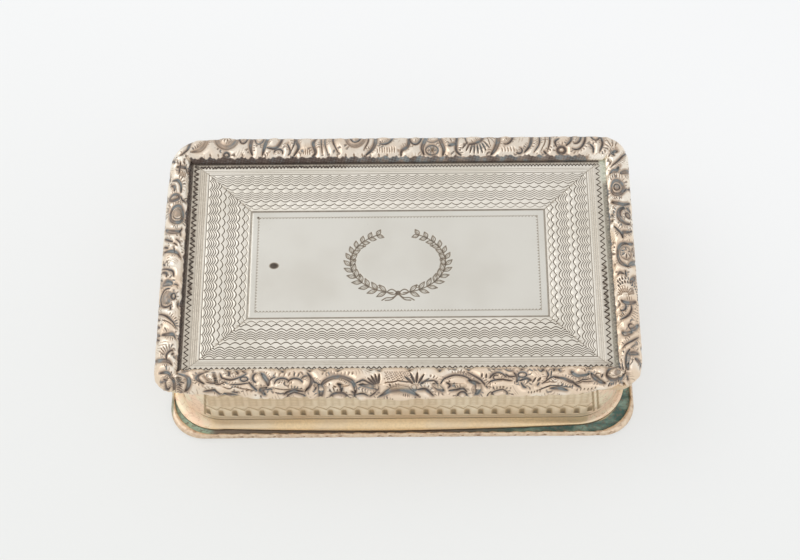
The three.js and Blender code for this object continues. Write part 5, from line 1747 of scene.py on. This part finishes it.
@dataclass
class Wall:
    """The gilt wall: engine-turned panels between plain corners, a cove and a foot, bare inside.

    pitch and phase place the turning's cells, square is the sunk part of a cell and band the woven
    strip half way up. panel_over is how far a panel runs on into the corner, and splay how much
    further for each mm below splay_level. Ledges are lines at the cove's upper edge and rules the
    panels' own lines, each as its height and how dark it is.
    """

    half_x: float = 40.2
    half_y: float = 23.85
    radius: float = 8.4
    sheet: float = 0.9
    top: float = 16.2
    cove_top: float = 3.2
    cove_foot: float = 1.2
    foot_level: float = 0.85
    bottom: float = 0.7
    flare: float = 1.05
    easing: float = 0.1
    face_rows: int = 84
    cove_steps: int = 12
    pitch: float = 2.46
    phase: float = 1.77
    panel_over: float = 2.7
    splay: float = 0.11
    splay_level: float = 11.0
    panel_base: float = 4.45
    panel_top: float = 15.6
    panel_height: tuple[Pair, Pair] = ((3.9, 4.1), (15.9, 16.1))
    square: tuple[Pair, Pair] = ((-0.03, 0.14), (0.42, 0.52))
    band: tuple[Pair, Pair] = ((7.9, 8.4), (11.8, 12.3))
    weave: float = 0.62
    rules: tuple[Pair, ...] = ((10.7, 0.2), (4.15, 0.3), (15.95, 0.3))
    ledges: tuple[Pair, ...] = ((3.75, 0.3), (3.2, 0.75), (2.95, 0.25))

    def outline(self) -> tuple[np.ndarray, ...]:
        """The way round the wall.

        Returns:
            Corner middle and outward direction in X and Y at each station, the run along its side
            from the side's middle, and half the length of the side's panel.
        """
        step = self.pitch / 10
        quarter_arc = self.radius * math.pi / 2
        fine, coarse = np.linspace(0, 30, 22), np.linspace(30, 60, 6)
        corner = np.radians(np.concatenate([fine[1:], coarse[1:-1], 60 + fine[:-1]]))
        parts = []
        for quarter in range(4):
            halves = (self.half_x, self.half_y) if quarter % 2 == 0 else (self.half_y, self.half_x)
            straight, across = halves[0] - self.radius, halves[1] - self.radius
            count = int(straight / step)
            run = np.arange(-count, count + 1) * step
            face = math.radians(-90 + 90 * quarter)
            turn = np.concatenate([np.zeros(len(run)), corner]) + face
            along = np.concatenate([run, np.full(len(corner), straight)])
            ahead = np.array([-math.sin(face), math.cos(face)])
            outward = np.array([math.cos(face), math.sin(face)])
            middle = along[:, None] * ahead + across * outward
            arc = self.radius * (turn - face)
            is_late = arc > quarter_arc / 2
            length = np.where(is_late, arc - quarter_arc - across, along + arc)
            limit = np.where(is_late, across, straight) + self.panel_over
            parts.append(np.column_stack([middle, np.cos(turn), np.sin(turn), length, limit]))
        whole = np.vstack(parts)
        return whole[:, :2], whole[:, 2:4], whole[:, 4], whole[:, 5]

    def spread(self, middle: np.ndarray, way: np.ndarray) -> np.ndarray:
        """How far the foot flares at each station: it bows in front and draws back at the right."""
        x = middle[:, 0]
        bow = 0.4 - 0.00055 * x**2 - 0.012 * np.maximum(x, 0)
        ahead = np.clip(-way[:, 1], 0, 1) ** 4
        left_corner = 2 * np.clip(-way[:, 0], 0, 1) * np.clip(-way[:, 1], 0, 1)
        return self.flare + bow * ahead + 0.6 * left_corner

    def turning(self, run: np.ndarray, brink: np.ndarray, level: np.ndarray) -> tuple[np.ndarray, ...]:
        """The engine turning of the panels.

        Args:
            run: how far along its side each column lies.
            brink: half the panel's length at each row and column.
            level: the rows' heights.

        Returns:
            Height over the plain wall and darkness, rows by columns.
        """
        cell = ((run - self.phase) / self.pitch) % 1.0
        height = np.zeros(np.broadcast(run, level).shape)
        dark = np.zeros_like(height)
        turn = (cell - 0.27) % 1.0
        scale = np.where(turn < 0.7, (turn / 0.7) ** 1.4, (1 - turn) / 0.3)
        square = window(*self.square, cell)
        for up in (level - self.panel_base, self.panel_top - level):
            body = smooth_step(0.0, 0.2, up - 0.3 * (0.3 - cell)) * (1 - smooth_step(1.6, 3.0, up))
            shade = 0.4 + 0.46 * np.clip(1 - up / 2.2, 0, 1) ** 1.3 - 0.1 * cell
            height -= 0.14 * square * body
            dark = np.maximum(dark, shade * square * body)
            height += 0.1 * np.clip(1 - (2.6 * (cell - 0.7)) ** 2, 0, 1) * body
            wave = np.abs(up - 3.45 + 1.1 * scale)
            height -= 0.1 * (1 - smooth_step(0.05, 0.3, wave))
            dark = np.maximum(dark, 0.4 * (1 - smooth_step(0.02, 0.4, wave)))
        middle = window(*self.band, level)
        weave = 0.5 + 0.5 * np.cos(2 * np.pi * level / self.weave)
        dark = np.maximum(dark, 0.24 * weave * middle * (0.4 + 0.6 * (cell > 0.45)))
        column = 0.5 + 0.5 * np.cos(4 * np.pi * (cell - 0.45))
        height -= 0.07 * column * middle
        dark = np.maximum(dark, 0.2 * column * middle)
        for line, tone in self.rules:
            near = 1 - smooth_step(0.04, 0.2, np.abs(level - line))
            dark = np.maximum(dark, tone * near)
            height -= 0.04 * near
        inside = smooth_step(0.0, 0.3, brink - np.abs(run)) * smooth_step(3.9, 4.0, level)
        return height * inside, dark * inside

    def profile(self) -> tuple[np.ndarray, np.ndarray]:
        """The wall's section.

        Returns:
            The rows' reach, as a share of the foot's flare or in mm inwards, with their height, and
            1 for the rows of the outer face.
        """
        cove = np.linspace(0, math.pi / 2, self.cove_steps)[1:]
        drop = self.cove_top - self.cove_foot
        levels = np.linspace(self.top - self.easing, self.cove_top, self.face_rows)
        levels = np.r_[levels, self.cove_top - drop * np.sin(cove), self.foot_level, self.bottom]
        reach = np.r_[np.zeros(self.face_rows), 1 - np.cos(cove), 1, 1]
        inner = np.array([
            [-self.sheet, self.bottom], [-self.sheet, 4.0], [-self.sheet, 9.0], [-self.sheet, 14.0],
            [-self.sheet, self.top - self.easing], [-self.sheet + self.easing, self.top],
            [-self.easing, self.top],
        ])
        rows = np.vstack([np.column_stack([reach, levels]), inner])
        return rows, (np.arange(len(rows)) < len(levels))[:, None]

    def build(self) -> None:
        """Makes the wall as one closed band."""
        middle, way, run, limit = self.outline()
        rows, outer = self.profile()
        level = rows[:, 1:]
        brink = limit[None, :] + self.splay * (self.splay_level - level)
        height, dark = self.turning(run[None, :], brink, level)
        height, dark = height * outer, dark * outer
        clear = 1 - 0.75 * smooth_step(0.0, 3.0, np.abs(run) - limit)[None, :]
        for line, tone in self.ledges:
            near = (1 - smooth_step(0.04, 0.16, np.abs(level - line))) * outer * clear
            height = height - 0.05 * near
            dark = np.maximum(dark, tone * near)
        ends = 1 - smooth_step(0.1, 0.34, np.abs(brink - np.abs(run)))
        ends = np.maximum(ends, 1 - smooth_step(0.1, 0.34, np.abs(brink + 0.9 - run)))
        upright = ends * window(*self.panel_height, level) * outer
        height = height - 0.04 * upright
        # Painted shade in the crevice between the wall's foot and the rim: the lowest rows are darkened
        foot = (1 - smooth_step(0.9, 1.25, level)) * outer
        dark = np.maximum(np.maximum(dark, 0.5 * upright), 0.76 * foot)
        flare = np.where(rows[:, :1] > 0, rows[:, :1] * self.spread(middle, way), rows[:, :1])
        radius = self.radius + flare + height
        x = middle[None, :, 0] + radius * way[None, :, 0]
        y = middle[None, :, 1] + radius * way[None, :, 1]
        points = np.stack([x, y, level * np.ones_like(x)], -1)
        points = np.concatenate([points, points[:, :1]], 1)
        dark = np.concatenate([dark, dark[:, :1]], 1)
        piece = sheet_of("turned_wall", np.concatenate([points, points[:1]], 0))
        mark(piece, "hollow", np.concatenate([dark, dark[:1]], 0))
        close_up(piece, smooth=40)
        hand_over(piece, "body", "gilt_silver", WALL_GILT, "body_wall")


@dataclass
class BaseRim:
    """The small cast rim round the base, with green bloom at its front left corner."""

    shape: Moulding = field(default_factory=lambda: Moulding(
        half_x=42.3, half_y=26.35, radius=6.1, pitch=0.12, mitre_reach=0.5, broaden=1.7,
        section=(
            (0.22, 0.20), (0.04, 0.40), (0.00, 0.75), (0.05, 1.12), (0.22, 1.40), (0.42, 1.42),
            (0.58, 1.20), (0.66, 0.68),
        ),
        backing=((0.46, 0.68), (0.44, 0.25)),
    ))
    repeat: float = 3.1
    offset_x: float = RIM_OFFSET
    wall_gap_shade: Pair = (2.0, 2.5)
    bloom_x: Pair = (41.2, 41.4)
    bloom_y: tuple[Pair, Pair] = ((16.0, 18.0), (22.0, 23.6))

    def carving(self, side: Side) -> list[Motif]:
        """Small leaves and beads along one side, no two neighbours quite alike."""
        half = self.shape.halves(side)[0]
        count = int(half / self.repeat)
        made: list[Motif] = []
        for index in range(-count, count + 1):
            place = index * self.repeat + 0.6 * math.sin(2.3 * index)
            if abs(place) > half - self.shape.radius - 1.0:
                continue
            lean = 0.8 if index % 2 else -0.5
            made.append(Cut(((place - lean, 2.3), (place + 0.2, 1.8), (place + lean, 1.5)), 0.22, 0.5))
            if index % 4 != 1:
                width = 0.3 + 0.08 * (index % 3)
                made.append(Cut(((place + 1.1, 0.5), (place + 1.5, 0.8)), width, 0.5))
            if index % 3:
                made.append(Cut(((place + 1.3, 2.4), (place + 2.3, 2.25)), 0.24, 0.75))
            made.append(Boss((place + 1.5, 1.6), (0.8, 0.5), 0.08))
        return made

    def build(self) -> None:
        """Makes the four strips."""
        faces = self.shape.carve({side: self.carving(side) for side in Side})
        for side in Side:
            faces[side].cut *= 0.6
            # Painted shade on the rim's inner face, in the crevice against the wall
            wall_gap_shade = smooth_step(*self.wall_gap_shade, self.shape.rows)[:, None]
            faces[side].dark = np.maximum(faces[side].dark, 0.9 * wall_gap_shade)
            piece = self.shape.strip(f"base_leaves_{side.value}", side, faces[side], edge=0.2)
            piece.data.transform(Matrix.Translation((self.offset_x * MM, 0, 0)))
            places = np.empty(3 * len(piece.data.vertices), np.float32)
            piece.data.vertices.foreach_get("co", places)
            x, y = places.reshape(-1, 3).T[:2] / MM
            bloom = 0.8 * smooth_step(*self.bloom_x, -x) * window(*self.bloom_y, -y)
            mark(piece, "bloom", bloom)
            hand_over(piece, "body", "cast_silver", RIM_SILVER, f"base_border_{side.value}")


@dataclass
class FloorPlate:
    """The flat sheet that closes the box below, inside the rim."""

    half_x: float = 41.85
    half_y: float = 25.9
    radius: float = 5.65
    offset_x: float = RIM_OFFSET
    thickness: float = 0.7
    easing: float = 0.05

    def build(self) -> None:
        """Makes the plate from a block with rounded corners and softened edges."""
        put_away()
        bpy.ops.mesh.primitive_cube_add(size=1.0)
        piece = bpy.context.object
        piece.name = "floor_plate"
        piece.data.name = piece.name
        scale = Matrix.Diagonal((2 * self.half_x * MM, 2 * self.half_y * MM, self.thickness * MM, 1.0))
        move = Matrix.Translation((self.offset_x * MM, 0.0, 0.5 * self.thickness * MM))
        piece.data.transform(move @ scale)
        take_up(piece)
        weights = piece.data.attributes.new("bevel_weight_edge", "FLOAT", "EDGE")
        for edge, weight in zip(piece.data.edges, weights.data):
            ends = [piece.data.vertices[index].co for index in edge.vertices]
            weight.value = float(abs(ends[0].z - ends[1].z) > 0.5 * self.thickness * MM)
        soften(piece, self.radius, 20)
        soften(piece, self.easing, 2, sharper_than=60)
        piece.data.attributes.remove(piece.data.attributes["bevel_weight_edge"])
        bpy.ops.object.shade_smooth_by_angle(angle=math.radians(35))
        hand_over(piece, "body", "silver", FLOOR_SILVER, "base_plate")


@dataclass
class PlainWork:
    """The pieces whose solids already have the right shape: eased edges or a finish of their own."""

    bevel: float = 0.07
    weld: float = 0.002
    flat: float = 1.0
    sharp: float = 40.0
    gilt: tuple[str, ...] = ("body_bezel", "lid_rim")
    hinge: tuple[str, ...] = (
        "body_hinge_bearer", "lid_hinge_bearer", "body_knuckle_1", "body_knuckle_2", "body_knuckle_3",
        "body_knuckle_4", "lid_knuckle_1", "lid_knuckle_2", "lid_knuckle_3",
    )
    kept: tuple[str, ...] = ("hinge_pin", "pin_plug_left", "pin_plug_right")

    def ease(self, node: str) -> bpy.types.Object:
        """Makes a copy of a solid with its edges softened."""
        source = frame["nodes"][node]
        put_away()
        piece = source.copy()
        piece.data = source.data.copy()
        piece.parent = None
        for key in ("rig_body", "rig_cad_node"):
            if key in piece:
                del piece[key]
        bpy.context.scene.collection.objects.link(piece)
        piece.name = f"{node}_eased"
        piece.data.name = piece.name
        take_up(piece)
        bpy.ops.object.mode_set(mode="EDIT")
        bpy.ops.mesh.select_all(action="SELECT")
        bpy.ops.mesh.remove_doubles(threshold=self.weld * MM)
        bpy.ops.mesh.dissolve_limited(angle_limit=math.radians(self.flat))
        bpy.ops.object.mode_set(mode="OBJECT")
        soften(piece, self.bevel, 2, sharper_than=self.sharp)
        bpy.ops.object.shade_smooth_by_angle(angle=math.radians(self.sharp))
        return piece

    def build(self) -> None:
        """Eases the sheets and the hinge, and dresses the pin and its plugs as they are."""
        eased = ((self.gilt, "gilt_silver", GILT), (self.hinge, "hinge_silver", HINGE_SILVER))
        for nodes, slot, finish in eased:
            for node in nodes:
                body = "lid" if node.startswith("lid_") else "body"
                hand_over(self.ease(node), body, slot, finish, node)
        for node in self.kept:
            dress(frame["nodes"][node], HINGE_SILVER)
            LOG.info("%s keeps its solid", node)


@dataclass
class Studio:
    """Floor, daylight, two soft lamps and the camera."""

    lens: float = 86.289
    eye: tuple[float, float, float] = (3.48411, -176.79369, 315.84461)
    right: tuple[float, float, float] = (0.99992405, -0.00261496, -0.01204389)
    down: tuple[float, float, float] = (-0.008316, -0.86439455, -0.50274536)
    ahead: tuple[float, float, float] = (-0.00909602, 0.50280734, -0.86435065)
    floor_glow: float = 0.6

    def camera(self) -> None:
        """Sets the camera where the picture was taken from."""
        put_away()
        bpy.ops.object.camera_add()
        camera = bpy.context.object
        camera.name = "camera"
        camera.data.lens = self.lens
        camera.data.sensor_width = 36.0
        camera.data.clip_start = 0.01
        axes = Matrix((self.right, [-v for v in self.down], [-v for v in self.ahead])).transposed()
        camera.matrix_world = Matrix.Translation(Vector(self.eye) * MM) @ axes.to_4x4()
        bpy.context.scene.camera = camera

    def floor(self) -> None:
        """Lays the pale table top that the box stands on, with painted light falloff across it."""
        put_away()
        bpy.ops.mesh.primitive_plane_add(size=4.0, location=(0, 0, 0))
        floor = bpy.context.object
        floor.name = "floor"
        bench = Bench("floor_paper")
        # Painted light falloff: the floor is paler towards the back right and darker towards the front
        # left
        fall = (bench.axis("Y") + 0.35 * bench.axis("X")) * -1.0
        tone = bench.blend(fall.ramp(-90.0, 70.0), linear(245, 246, 246), linear(237, 238, 236))
        paper = bench.node("ShaderNodeBsdfPrincipled", None, {"Base Color": tone, "Roughness": 0.85})
        glow = bench.node("ShaderNodeEmission", None, {"Color": tone, "Strength": 1.0})
        seen = bench.node("ShaderNodeLightPath", output="Is Camera Ray").over(
            bench.node("ShaderNodeLightPath", output="Is Glossy Ray")
        )
        mixed = bench.node("ShaderNodeMixShader", None, {0: seen * self.floor_glow, 1: paper, 2: glow})
        floor.data.materials.append(bench.deliver(mixed))

    def lamp(self, name: str, place: Sequence[float], target: Sequence[float], size: float,
             watts: float) -> None:
        """Hangs a square soft lamp that points at a target; places in metres."""
        put_away()
        bpy.ops.object.light_add(type="AREA", location=place)
        lamp = bpy.context.object
        lamp.name = name
        lamp.data.size = size
        lamp.data.energy = watts
        way = Vector(target) - Vector(place)
        lamp.rotation_euler = way.to_track_quat("-Z", "Y").to_euler()

    def daylight(self) -> None:
        """Sets an even, slightly cool surround."""
        world = bpy.data.worlds.new("surround")
        bpy.context.scene.world = world
        world.use_nodes = True
        back = world.node_tree.nodes["Background"]
        back.inputs["Color"].default_value = linear(250, 250, 252)
        back.inputs["Strength"].default_value = 0.92

    def build(self) -> None:
        """Makes the studio."""
        bpy.context.scene.view_settings.view_transform = "Standard"
        self.daylight()
        self.floor()
        self.lamp("window", (-0.75, 0.25, 0.75), (0, 0, 0), 0.9, 3.0)
        self.lamp("fill", (0.6, -0.5, 0.6), (0, 0, 0), 0.6, 0.6)
        self.camera()


def main() -> None:
    """Builds the pieces in order."""
    logging.basicConfig(level=logging.INFO, format="%(message)s")
    Studio().build()
    border = LidBorder()
    Thumbpiece().build(border, border.build())
    TurnedLid().build()
    Wall().build()
    BaseRim().build()
    FloorPlate().build()
    PlainWork().build()


if __name__ == "__main__":
    main()
